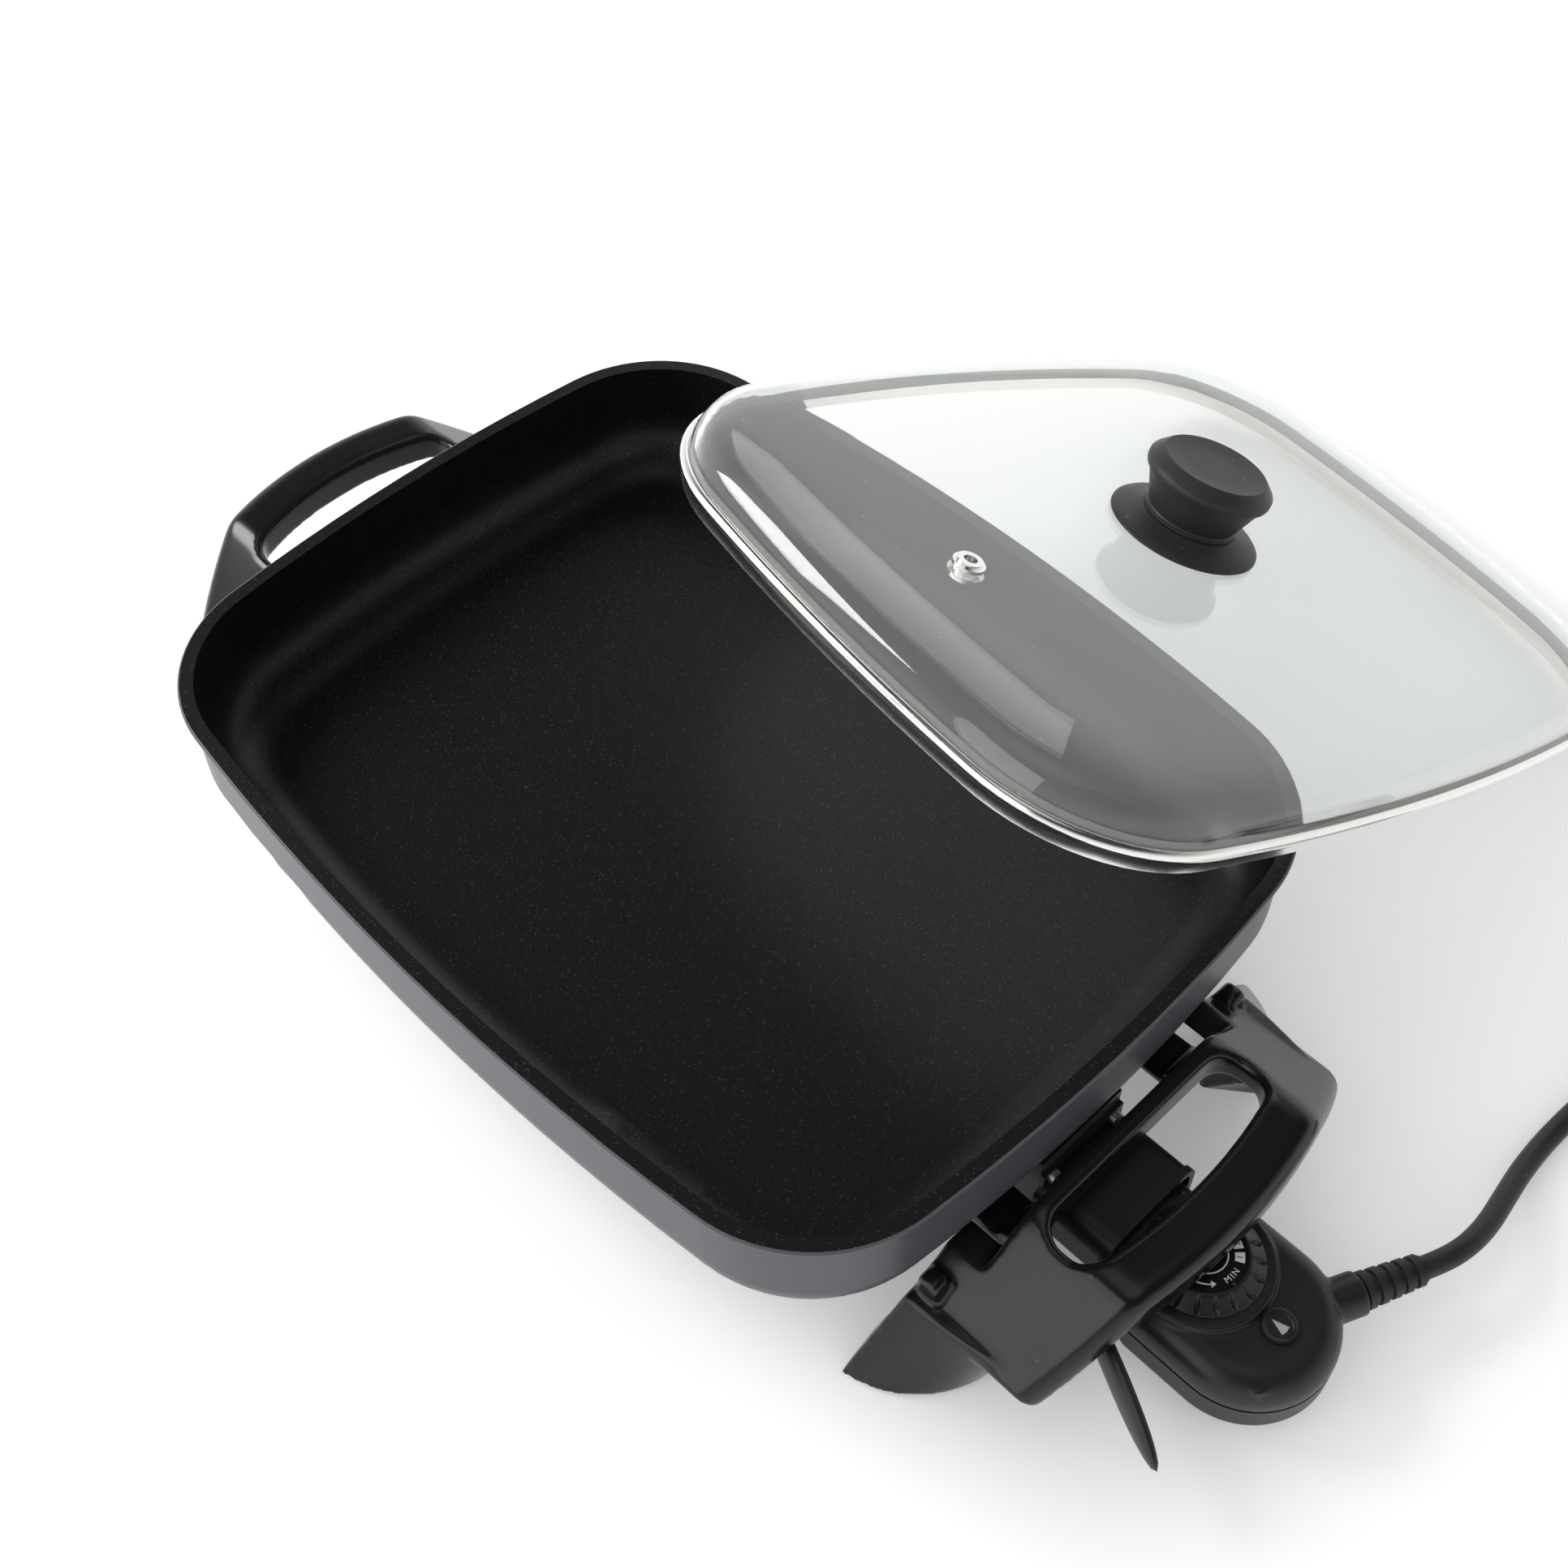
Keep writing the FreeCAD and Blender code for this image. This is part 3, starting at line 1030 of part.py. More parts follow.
def make_plug(x, z):
    body_y = PLUG_AT_Y
    body = cylinder(PLUG_R, PLUG_LEN, (x, body_y, z), V(0, -1, 0))
    body = body.makeFillet(4.0, [e for e in body.Edges if e.BoundBox.YMin > body_y - 0.1])
    neck = Part.makeCone(PLUG_NECK_R + 3, PLUG_NECK_R - 1.5, PLUG_NECK_LEN, V(x, body_y, z), V(0, 1, 0))
    pins = []
    for side in (-1, 1):
        pin = cylinder(PRONG_R, PRONG_LEN, (x + side * PRONG_PITCH / 2, body_y - PLUG_LEN, z), V(0, -1, 0))
        pins.append(pin.makeFillet(1.6,
                                   [e for e in pin.Edges
                                    if e.BoundBox.YMax < body_y - PLUG_LEN - PRONG_LEN + 0.1]))
    return body, neck, Part.makeCompound(pins)


def main():
    os.makedirs("parts", exist_ok=True)
    save("pan", make_pan())
    save("heating_element", make_element())
    save("element_terminals", make_terminals())
    save("probe_guide_tube", make_guide_tube())
    save("socket_guard", make_guard())
    save("guard_screws", make_guard_screws())
    front = make_bracket(FRONT_REACH, FRONT_EDGE_R, OPENING_FRONT_X)
    save("front_bracket", add_lever_boss(front))
    save("rear_bracket", to_rear(make_bracket(REAR_REACH, REAR_EDGE_R, OPENING_REAR_X)))
    save("front_handle_cover", make_cover(FRONT_REACH, FRONT_EDGE_R))
    save("rear_handle_cover", to_rear(make_cover(REAR_REACH, REAR_EDGE_R)))
    save("bracket_screws_front", make_bracket_screws())
    save("bracket_screws_rear", to_rear(make_bracket_screws()))
    save("foot_pads_front", make_pads())
    save("foot_pads_rear", to_rear(make_pads()))
    save("ejector_lever", make_lever())
    save("lever_pin", make_lever_pin())
    save("lid_band", set_lid(make_band()))
    save("lid_seal", set_lid(make_seal()))
    save("lid_glass", set_lid(make_glass()))
    for name, shape in zip(("knob_foot", "knob_body", "knob_cap"), make_knob()):
        save(name, set_lid(shape))
    for name, shape in zip(("knob_seal", "knob_washer", "knob_screw"), make_knob_fixings()):
        save(name, set_lid(shape))
    for name, shape in zip(("steam_vent", "vent_collar"), make_vent()):
        save(name, set_lid(shape))
    save("control_upper", make_upper_housing())
    save("control_lower", make_lower_housing())
    save("housing_screws", make_housing_screws())
    save("control_contacts", make_contacts())
    save("sensor_rod", make_rod())
    names = ("thermostat_frame", "bimetal_blade", "terminal_block", "cord_clamp", "pilot_lens", "pilot_lamp")
    for name, shape in zip(names, make_inner_parts()):
        save(name, shape)
    for name, shape in zip(("dial_ring", "dial_face", "dial_shaft"), make_dial()):
        save(name, shape)
    save("strain_relief", make_relief())
    coil, coil_in, coil_out, coil_length = make_coil()
    save("cord_coil", coil)
    tip = V(*RELIEF_ROOT) + relief_axis() * RELIEF_LEN
    lead = tip + relief_axis() * CORD_LEAD
    route = [tip, lead] + CORD_POINTS + [coil_in]
    cord, cord_length = route_edges(route, "cord")
    save("cord", cord)
    plug_z = PLUG_R + CORD_FLOOR
    neck_end = PLUG_AT_Y + PLUG_NECK_LEN
    plug_x = coil_out.x + TAIL_SHIFT
    tail_end = V(plug_x, neck_end, plug_z)
    tail_route = [coil_out, coil_out - V(0, TAIL_LEAD, 0)] + TAIL_POINTS + [tail_end + V(0, TAIL_LEAD,
                                                                                         0), tail_end]
    tail, tail_length = route_edges(tail_route, "cord tail")
    save("cord_tail", tail)
    body, neck, prongs = make_plug(plug_x, plug_z)
    save("plug_body", body)
    save("plug_relief", neck)
    save("plug_pins", prongs)
    print("whole cord", round(coil_length + cord_length + tail_length, 1))


main()
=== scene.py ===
# %% [markdown]
# # Electric skillet
# A cast pan on two black handle brackets, a glass lid leaning on its rim and a plug-in heat
# control with its cord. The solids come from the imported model, already in place and in metres.
# This lesson gives them a camera, light, finishes and the fine pieces that the solids lack.

# %% Load the frame
import bpy
import math
from mathutils import Matrix, Vector


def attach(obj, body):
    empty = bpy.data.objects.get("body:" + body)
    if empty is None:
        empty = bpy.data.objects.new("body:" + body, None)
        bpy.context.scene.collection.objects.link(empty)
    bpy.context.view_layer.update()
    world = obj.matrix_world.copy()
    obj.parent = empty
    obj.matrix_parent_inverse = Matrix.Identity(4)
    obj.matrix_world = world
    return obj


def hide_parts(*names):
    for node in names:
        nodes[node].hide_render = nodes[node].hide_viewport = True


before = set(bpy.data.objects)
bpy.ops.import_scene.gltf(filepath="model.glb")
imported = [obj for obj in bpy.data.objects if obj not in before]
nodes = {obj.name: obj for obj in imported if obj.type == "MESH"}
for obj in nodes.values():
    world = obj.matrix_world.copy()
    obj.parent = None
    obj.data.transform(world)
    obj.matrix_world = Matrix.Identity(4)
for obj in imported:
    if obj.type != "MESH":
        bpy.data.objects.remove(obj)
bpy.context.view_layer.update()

# %% [markdown]
# The part is measured in millimetres from the middle of the pan, with the table at height 0.
# One helper turns such a point into the scene's metres, so every later number can be read
# off the object with a ruler.

# %% Pan-centred millimetres to scene metres
PAN_X = -16.966
PAN_Y = -118.112


def at(x, y, z):
    return Vector(((x + PAN_X) / 1000, (y + PAN_Y) / 1000, z / 1000))


print("pan centre at", at(0, 0, 107))

# %% [markdown]
# The camera looks down over the control end of the pan. Its three axes are written out, because
# they also carry the small turn that the picture has, and a matrix holds them without rounding.

# %% Camera
CAMERA_AT = (377.2, -338.1, 724.5)
LENS_MM = 47.46
RIGHT = Vector((0.7009, 0.7133, 0.0)).normalized()
BACK = Vector((0.438, -0.4307, 0.789)).normalized()
UP = BACK.cross(RIGHT).normalized()
camera_data = bpy.data.cameras.new("camera")
camera_data.sensor_width = 36
camera_data.lens = LENS_MM
camera_data.clip_start = 0.01
camera = bpy.data.objects.new("camera", camera_data)
bpy.context.scene.collection.objects.link(camera)
camera.matrix_world = Matrix.Translation(at(*CAMERA_AT)) @ Matrix((
    (RIGHT.x, UP.x, BACK.x, 0), (RIGHT.y, UP.y, BACK.y, 0), (RIGHT.z, UP.z, BACK.z, 0), (0, 0, 0, 1)))
bpy.context.scene.camera = camera
bpy.context.scene.view_settings.view_transform = "Standard"
print("camera at", camera.matrix_world.translation)

# %% [markdown]
# The cord is one smooth NURBS line through given points: straight out of the strain
# relief, down to the table, out of the picture, twice and a half round a storage coil and into
# the plug. The order and the clamped ends are set after the points, or the line stays angular.

# %% Cord route
CORD_R = 4.4
ROUTE_OUT = [(310.08, 51.25, 27.5), (313.74, 59.47, 27.5), (316.4, 71.0, 26.2), (316.6, 85.8, 22.2),
             (314.0, 104.5, 15.4), (311.4, 124.0, 8.8), (310.6, 146.0, 5.0), (312.3, 172.0, 4.45),
             (315.0, 200.0, 4.45), (315.0, 225.0, 4.45)]
ROUTE_IN = [(421.0, 225.0, 13.85), (421.0, 212.0, 13.85), (421.8, 197.0, 15.7), (423.0, 183.0, 18.05),
            (423.0, 170.0, 18.05)]
COIL_MID = (368.0, 235.0)
COIL_INNER = 41.0
COIL_PITCH = 9.6
COIL_TURNS = 2.5
COIL_STEPS = 14
TABLE_GAP = 0.05
LAYER_RISE = 9.4


def coil_point(turn):
    # turn runs from -1.25 to 1.25; the cord climbs onto the upper layer around 0
    rise = min(1.0, max(0.0, (turn + 0.25) / 0.5))
    rise = rise * rise * (3 - 2 * rise)
    away = abs(turn)
    if away < 0.25:
        away = (turn * turn / 0.25 + 0.25) / 2
    radius = COIL_INNER + COIL_PITCH * away
    angle = math.pi / 2 - 2 * math.pi * turn
    return (COIL_MID[0] + radius * math.cos(angle), COIL_MID[1] + radius * math.sin(angle),
            CORD_R + TABLE_GAP + LAYER_RISE * rise)


coil_count = int(COIL_TURNS * COIL_STEPS)
coil_points = [coil_point(-COIL_TURNS / 2 + COIL_TURNS * i / coil_count) for i in range(coil_count + 1)]
route = ROUTE_OUT + coil_points + ROUTE_IN
print("cord points", len(route))

# %% Cord curve
cord_data = bpy.data.curves.new("cord_line", "CURVE")
cord_data.dimensions = "3D"
cord_data.bevel_depth = 1.0
cord_data.bevel_resolution = 8
cord_data.resolution_u = 10
cord_data.use_fill_caps = True
spline = cord_data.splines.new("NURBS")
spline.points.add(len(route) - 1)
for point, place in zip(spline.points, route):
    point.co = (*at(*place), 1)
    point.radius = CORD_R / 1000
spline.order_u = 3
spline.use_endpoint_u = True
cord = bpy.data.objects.new("power_cord", cord_data)
bpy.context.scene.collection.objects.link(cord)
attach(cord, "control")
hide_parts("cord", "cord_coil", "cord_tail")
print("cord line made")

# %% [markdown]
# The light is a plain soft studio: a soft lamp high on the left, a weak one from the far side,
# a wide panel in front and a pale sky. The sky is white at the horizon, dim at half height and
# light again straight above, so that level dark surfaces stay dark while rounded edges catch
# long soft highlights.

# %% Lamps
def soft_lamp(name, place, target, size, power):
    lamp_data = bpy.data.lights.new(name, "AREA")
    lamp_data.shape = "SQUARE"
    lamp_data.size = size
    lamp_data.energy = power
    lamp = bpy.data.objects.new(name, lamp_data)
    bpy.context.scene.collection.objects.link(lamp)
    lamp.location = place
    lamp.rotation_euler = (Vector(target) - Vector(place)).to_track_quat("-Z", "Y").to_euler()
    return lamp


SKILLET = (0, -0.1, 0.05)
key_lamp = soft_lamp("key_lamp", (-1.30, -0.75, 1.15), SKILLET, 0.8, 20)
fill_lamp = soft_lamp("fill_lamp", (-0.9, 1.5, 1.3), (0, 0, 0.05), 1.2, 5)
panel_lamp = soft_lamp("panel_lamp", (-0.25, -1.9, 1.35), SKILLET, 1.6, 12)
print("lamps", key_lamp.name, fill_lamp.name, panel_lamp.name)

# %% World
EVEN_SKY = 0.62
world = bpy.data.worlds.new("studio")
bpy.context.scene.world = world
world.use_nodes = True
wn, wl = world.node_tree.nodes, world.node_tree.links
wn.clear()
sky_direction = wn.new("ShaderNodeTexCoord")
sky_parts = wn.new("ShaderNodeSeparateXYZ")
sky_ramp = wn.new("ShaderNodeValToRGB")
sky_ramp.color_ramp.elements[0].position = 0.22
sky_ramp.color_ramp.elements[0].color = (0.95, 0.95, 0.95, 1)
sky_ramp.color_ramp.elements[1].position = 0.66
sky_ramp.color_ramp.elements[1].color = (0.03, 0.03, 0.03, 1)
for position, value in ((0.90, 0.03), (0.985, 0.60)):
    stop = sky_ramp.color_ramp.elements.new(position)
    stop.color = (value, value, value, 1)
gloss_sky = wn.new("ShaderNodeBackground")
even_sky = wn.new("ShaderNodeBackground")
even_sky.inputs["Color"].default_value = (1, 1, 1, 1)
even_sky.inputs["Strength"].default_value = EVEN_SKY
white_sky = wn.new("ShaderNodeBackground")
white_sky.inputs["Color"].default_value = (1, 1, 1, 1)
white_sky.inputs["Strength"].default_value = 1.0
path = wn.new("ShaderNodeLightPath")
pick_gloss = wn.new("ShaderNodeMixShader")
pick_white = wn.new("ShaderNodeMixShader")
seen = wn.new("ShaderNodeMath")
seen.operation = "MAXIMUM"
world_out = wn.new("ShaderNodeOutputWorld")
wl.new(sky_direction.outputs["Generated"], sky_parts.inputs[0])
wl.new(sky_parts.outputs["Z"], sky_ramp.inputs["Fac"])
wl.new(sky_ramp.outputs["Color"], gloss_sky.inputs["Color"])
wl.new(path.outputs["Is Camera Ray"], seen.inputs[0])
wl.new(path.outputs["Is Transmission Ray"], seen.inputs[1])
wl.new(path.outputs["Is Glossy Ray"], pick_gloss.inputs["Fac"])
wl.new(even_sky.outputs[0], pick_gloss.inputs[1])
wl.new(gloss_sky.outputs[0], pick_gloss.inputs[2])
wl.new(seen.outputs[0], pick_white.inputs["Fac"])
wl.new(pick_gloss.outputs[0], pick_white.inputs[1])
wl.new(white_sky.outputs[0], pick_white.inputs[2])
wl.new(pick_white.outputs[0], world_out.inputs["Surface"])
print("world ready")

# %% [markdown]
# The floor is a plain sheet. It takes the shadow as any pale board would, and a little added
# brightness for the rays that look at it lifts the open floor to white.

# %% Floor
FLOOR_GREY = 0.86
FLOOR_GLOW = 0.24
bpy.ops.object.select_all(action="DESELECT")
bpy.ops.mesh.primitive_plane_add(size=8, location=(0, 0, 0))
floor = bpy.context.object
floor.name = "floor"
floor_material = bpy.data.materials.new("floor_board")
floor_material.use_nodes = True
fn, fl = floor_material.node_tree.nodes, floor_material.node_tree.links
floor_shader = fn["Principled BSDF"]
floor_shader.inputs["Base Color"].default_value = (FLOOR_GREY, FLOOR_GREY, FLOOR_GREY, 1)
floor_shader.inputs["Roughness"].default_value = 0.9
floor_shader.inputs["Specular IOR Level"].default_value = 0.0
floor_glow = fn.new("ShaderNodeEmission")
floor_glow.inputs["Color"].default_value = (1, 1, 1, 1)
floor_path = fn.new("ShaderNodeLightPath")
floor_seen = fn.new("ShaderNodeMath")
floor_seen.operation = "MAXIMUM"
floor_looked_at = fn.new("ShaderNodeMath")
floor_looked_at.operation = "MAXIMUM"
floor_level = fn.new("ShaderNodeMath")
floor_level.operation = "MULTIPLY"
floor_level.inputs[1].default_value = FLOOR_GLOW
floor_add = fn.new("ShaderNodeAddShader")
fl.new(floor_path.outputs["Is Camera Ray"], floor_seen.inputs[0])
fl.new(floor_path.outputs["Is Glossy Ray"], floor_seen.inputs[1])
fl.new(floor_seen.outputs[0], floor_looked_at.inputs[0])
fl.new(floor_path.outputs["Is Transmission Ray"], floor_looked_at.inputs[1])
fl.new(floor_looked_at.outputs[0], floor_level.inputs[0])
fl.new(floor_level.outputs[0], floor_glow.inputs["Strength"])
fl.new(floor_shader.outputs[0], floor_add.inputs[0])
fl.new(floor_glow.outputs[0], floor_add.inputs[1])
fl.new(floor_add.outputs[0], fn["Material Output"].inputs["Surface"])
floor.data.materials.append(floor_material)
print("floor", tuple(round(v, 2) for v in floor.dimensions))

# %% [markdown]
# Most finishes here are a dark base with something fine on it: the sparkle of the non-stick
# coat, the faint grain of moulded plastic, brushed lines on steel. Each of these is a node
# group that gives a mask or a height, so that every material sets its own amount.

# %% Helpers for groups
def start_group(name, inputs, outputs):
    group = bpy.data.node_groups.new(name, "ShaderNodeTree")
    for label, value in inputs:
        socket = group.interface.new_socket(name=label, in_out="INPUT", socket_type="NodeSocketFloat")
        socket.default_value = value
    for label in outputs:
        group.interface.new_socket(name=label, in_out="OUTPUT", socket_type="NodeSocketFloat")
    return group, group.nodes.new("NodeGroupInput"), group.nodes.new("NodeGroupOutput")


def noise_in(group, scale, detail, source=None):
    noise = group.nodes.new("ShaderNodeTexNoise")
    noise.inputs["Scale"].default_value = scale
    noise.inputs["Detail"].default_value = detail
    if source:
        group.links.new(source, noise.inputs["Scale"])
    return noise


def ranged(group, value, low, high, to_low=0.0, to_high=1.0):
    step = group.nodes.new("ShaderNodeMapRange")
    step.inputs["From Min"].default_value = low
    step.inputs["From Max"].default_value = high
    step.inputs["To Min"].default_value = to_low
    step.inputs["To Max"].default_value = to_high
    group.links.new(value, step.inputs["Value"])
    return step.outputs["Result"]


print("group helpers ready")

# %% [markdown]
# A sprayed coat holds tiny bright flakes. Cells of a Voronoi pattern, each with its own random
# value, give isolated points: only the few cells with the lowest values are kept, and only
# close to their middles.

# %% Flake group
flakes, flakes_in, flakes_out = start_group(
    "coat_flakes", [("Scale", 900.0), ("Share", 0.05)], ["Mask", "Height"])
place_node = flakes.nodes.new("ShaderNodeTexCoord")
cells = flakes.nodes.new("ShaderNodeTexVoronoi")
cells.feature = "F1"
flakes.links.new(place_node.outputs["Object"], cells.inputs["Vector"])
flakes.links.new(flakes_in.outputs["Scale"], cells.inputs["Scale"])
near = ranged(flakes, cells.outputs["Distance"], 0.42, 0.12)
tint = flakes.nodes.new("ShaderNodeSeparateColor")
flakes.links.new(cells.outputs["Color"], tint.inputs["Color"])
chosen = flakes.nodes.new("ShaderNodeMath")
chosen.operation = "LESS_THAN"
flakes.links.new(tint.outputs["Red"], chosen.inputs[0])
flakes.links.new(flakes_in.outputs["Share"], chosen.inputs[1])
both = flakes.nodes.new("ShaderNodeMath")
both.operation = "MULTIPLY"
flakes.links.new(chosen.outputs[0], both.inputs[0])
flakes.links.new(near, both.inputs[1])
flakes.links.new(both.outputs[0], flakes_out.inputs["Mask"])
coat_noise = noise_in(flakes, 700.0, 3.0)
flakes.links.new(place_node.outputs["Object"], coat_noise.inputs["Vector"])
flakes.links.new(coat_noise.outputs["Fac"], flakes_out.inputs["Height"])
print("group", flakes.name)

# %% [markdown]
# Moulded plastic is never one even gloss. A broad soft noise shifts the roughness a little,
# a fine one makes the leather-fine grain of the tool's surface, and a sparse one adds dust.

# %% Grain group
grain, grain_in, grain_out = start_group(
    "moulded_grain", [("Scale", 1400.0)], ["Height", "Cloud", "Dust"])
grain_place = grain.nodes.new("ShaderNodeTexCoord")
fine = noise_in(grain, 1400.0, 2.0, grain_in.outputs["Scale"])
cloud = noise_in(grain, 14.0, 3.0)
dust_cells = grain.nodes.new("ShaderNodeTexVoronoi")
dust_cells.inputs["Scale"].default_value = 420.0
for node in (fine, cloud, dust_cells):
    grain.links.new(grain_place.outputs["Object"], node.inputs["Vector"])
dust_tint = grain.nodes.new("ShaderNodeSeparateColor")
grain.links.new(dust_cells.outputs["Color"], dust_tint.inputs["Color"])
dust_share = ranged(grain, dust_tint.outputs["Red"], 0.012, 0.004)
dust_near = ranged(grain, dust_cells.outputs["Distance"], 0.35, 0.1)
dust_both = grain.nodes.new("ShaderNodeMath")
dust_both.operation = "MULTIPLY"
grain.links.new(dust_share, dust_both.inputs[0])
grain.links.new(dust_near, dust_both.inputs[1])
grain.links.new(fine.outputs["Fac"], grain_out.inputs["Height"])
grain.links.new(ranged(grain, cloud.outputs["Fac"], 0.3, 0.7), grain_out.inputs["Cloud"])
grain.links.new(dust_both.outputs[0], grain_out.inputs["Dust"])
print("group", grain.name)

# %% [markdown]
# Brushed and polished metal both show fine lines. Stretching a noise strongly along one axis
# turns its blobs into streaks.

# %% Brushed group
brushed, brushed_in, brushed_out = start_group("brushed_lines", [("Scale", 900.0)], ["Lines"])
brushed_place = brushed.nodes.new("ShaderNodeTexCoord")
stretch = brushed.nodes.new("ShaderNodeMapping")
stretch.inputs["Scale"].default_value = (0.04, 1.0, 1.0)
lines = noise_in(brushed, 900.0, 2.0, brushed_in.outputs["Scale"])
brushed.links.new(brushed_place.outputs["Object"], stretch.inputs["Vector"])
brushed.links.new(stretch.outputs["Vector"], lines.inputs["Vector"])
brushed.links.new(lines.outputs["Fac"], brushed_out.inputs["Lines"])
print("group", brushed.name)

# %% [markdown]
# Every material starts as one Principled shader. Small helpers add what varies over a surface:
# a group's mask or height, a bump, a second colour and a spread of roughness.

# %% Material helpers
def finish(name, colour, roughness, metallic=0.0, specular=0.5):
    material = bpy.data.materials.new(name)
    material.use_nodes = True
    shader = material.node_tree.nodes["Principled BSDF"]
    shader.inputs["Base Color"].default_value = (*colour, 1)
    shader.inputs["Roughness"].default_value = roughness
    shader.inputs["Metallic"].default_value = metallic
    shader.inputs["Specular IOR Level"].default_value = specular
    return material, shader


def group_in(material, group, **values):
    node = material.node_tree.nodes.new("ShaderNodeGroup")
    node.node_tree = group
    for label, value in values.items():
        node.inputs[label].default_value = value
    return node


def bump(material, shader, height, distance, strength=1.0):
    node = material.node_tree.nodes.new("ShaderNodeBump")
    node.inputs["Distance"].default_value = distance
    node.inputs["Strength"].default_value = strength
    material.node_tree.links.new(height, node.inputs["Height"])
    material.node_tree.links.new(node.outputs["Normal"], shader.inputs["Normal"])


def mixed_colour(material, shader, factor, first, second):
    mix = material.node_tree.nodes.new("ShaderNodeMix")
    mix.data_type = "RGBA"
    mix.inputs["A"].default_value = (*first, 1)
    mix.inputs["B"].default_value = (*second, 1)
    material.node_tree.links.new(factor, mix.inputs["Factor"])
    material.node_tree.links.new(mix.outputs["Result"], shader.inputs["Base Color"])
    return mix


def spread(material, shader, value, low, high, socket="Roughness"):
    step = material.node_tree.nodes.new("ShaderNodeMapRange")
    step.inputs["To Min"].default_value = low
    step.inputs["To Max"].default_value = high
    material.node_tree.links.new(value, step.inputs["Value"])
    material.node_tree.links.new(step.outputs["Result"], shader.inputs[socket])


def dress(material, *names):
    for name in names:
        mesh = nodes[name].data
        mesh.materials.clear()
        mesh.materials.append(material)


print("material helpers ready")

# %% [markdown]
# The pan is cast aluminium with a sprayed non-stick coat inside: near black, slightly rough,
# with a fine sparkle. Outside, the same casting is painted a smoother dark grey with a violet
# tinge. One material does both: the face's direction against the way out from the pan's middle
# tells inside from outside.

# %% Pan finish
COAT = (0.004, 0.004, 0.0038)
OUTSIDE_PAINT = (0.085, 0.078, 0.092)
FLAKE = (0.15, 0.15, 0.145, 1)
pan_coat, shader = finish("nonstick_coat", COAT, 0.36, specular=0.3)
tree = pan_coat.node_tree
flake = group_in(pan_coat, flakes, Scale=1900.0, Share=0.05)
place_node = tree.nodes.new("ShaderNodeTexCoord")
from_middle = tree.nodes.new("ShaderNodeMapping")
from_middle.inputs["Location"].default_value = (-PAN_X / 1000, -PAN_Y / 1000, 0)
from_middle.inputs["Scale"].default_value = (1, 1, 0)
face_way = tree.nodes.new("ShaderNodeNewGeometry")
along = tree.nodes.new("ShaderNodeVectorMath")
along.operation = "DOT_PRODUCT"
tree.links.new(place_node.outputs["Object"], from_middle.inputs["Vector"])
tree.links.new(from_middle.outputs["Vector"], along.inputs[0])
tree.links.new(face_way.outputs["True Normal"], along.inputs[1])
outside = tree.nodes.new("ShaderNodeMapRange")
outside.inputs["From Min"].default_value = 0.01
outside.inputs["From Max"].default_value = 0.04
tree.links.new(along.outputs["Value"], outside.inputs["Value"])
base_mix = mixed_colour(pan_coat, shader, outside.outputs["Result"], COAT, OUTSIDE_PAINT)
flake_mix = tree.nodes.new("ShaderNodeMix")
flake_mix.data_type = "RGBA"
flake_mix.inputs["B"].default_value = FLAKE
tree.links.new(base_mix.outputs["Result"], flake_mix.inputs["A"])
tree.links.new(flake.outputs["Mask"], flake_mix.inputs["Factor"])
tree.links.new(flake_mix.outputs["Result"], shader.inputs["Base Color"])
bump(pan_coat, shader, flake.outputs["Height"], 0.00012, 0.5)
dress(pan_coat, "pan")
print("pan finish ready")

# %% [markdown]
# The handles are glossy black thermoset plastic. A low roughness on a near-black base gives
# the deep shine, and the grain group keeps the gloss from being too perfect.

# %% Black plastics
gloss_black, shader = finish("handle_gloss", (0.007, 0.007, 0.0075), 0.22, specular=0.5)
g = group_in(gloss_black, grain, Scale=600.0)
spread(gloss_black, shader, g.outputs["Cloud"], 0.17, 0.27)
mixed_colour(gloss_black, shader, g.outputs["Dust"], (0.007, 0.007, 0.0075), (0.12, 0.12, 0.12))
bump(gloss_black, shader, g.outputs["Height"], 0.00004, 0.35)
dress(gloss_black, "front_bracket", "rear_bracket")

satin_black, shader = finish("control_satin", (0.012, 0.012, 0.0115), 0.38, specular=0.42)
g = group_in(satin_black, grain, Scale=1800.0)
spread(satin_black, shader, g.outputs["Cloud"], 0.34, 0.44)
mixed_colour(satin_black, shader, g.outputs["Dust"], (0.012, 0.012, 0.0115), (0.10, 0.10, 0.10))
bump(satin_black, shader, g.outputs["Height"], 0.00005, 0.5)
dress(satin_black, "control_upper", "control_lower", "ejector_lever", "socket_guard",
      "front_handle_cover", "rear_handle_cover", "pilot_lens")

charcoal, shader = finish("knob_charcoal", (0.022, 0.022, 0.022), 0.48, specular=0.4)
g = group_in(charcoal, grain, Scale=1300.0)
spread(charcoal, shader, g.outputs["Cloud"], 0.42, 0.54)
mixed_colour(charcoal, shader, g.outputs["Dust"], (0.022, 0.022, 0.022), (0.14, 0.14, 0.14))
bump(charcoal, shader, g.outputs["Height"], 0.00008, 0.6)
dress(charcoal, "knob_foot", "knob_body", "knob_cap", "dial_ring")

face_black, shader = finish("dial_face_black", (0.006, 0.006, 0.006), 0.18)
g = group_in(face_black, grain, Scale=900.0)
spread(face_black, shader, g.outputs["Cloud"], 0.14, 0.24)
mixed_colour(face_black, shader, g.outputs["Dust"], (0.006, 0.006, 0.006), (0.2, 0.2, 0.2))
dress(face_black, "dial_face")
print("plastics ready")

# %% [markdown]
# The rest of the object is soft black rubber, steel in three finishes, brass at the contacts,
# a cream ceramic inside the control and a grey silicone seal.

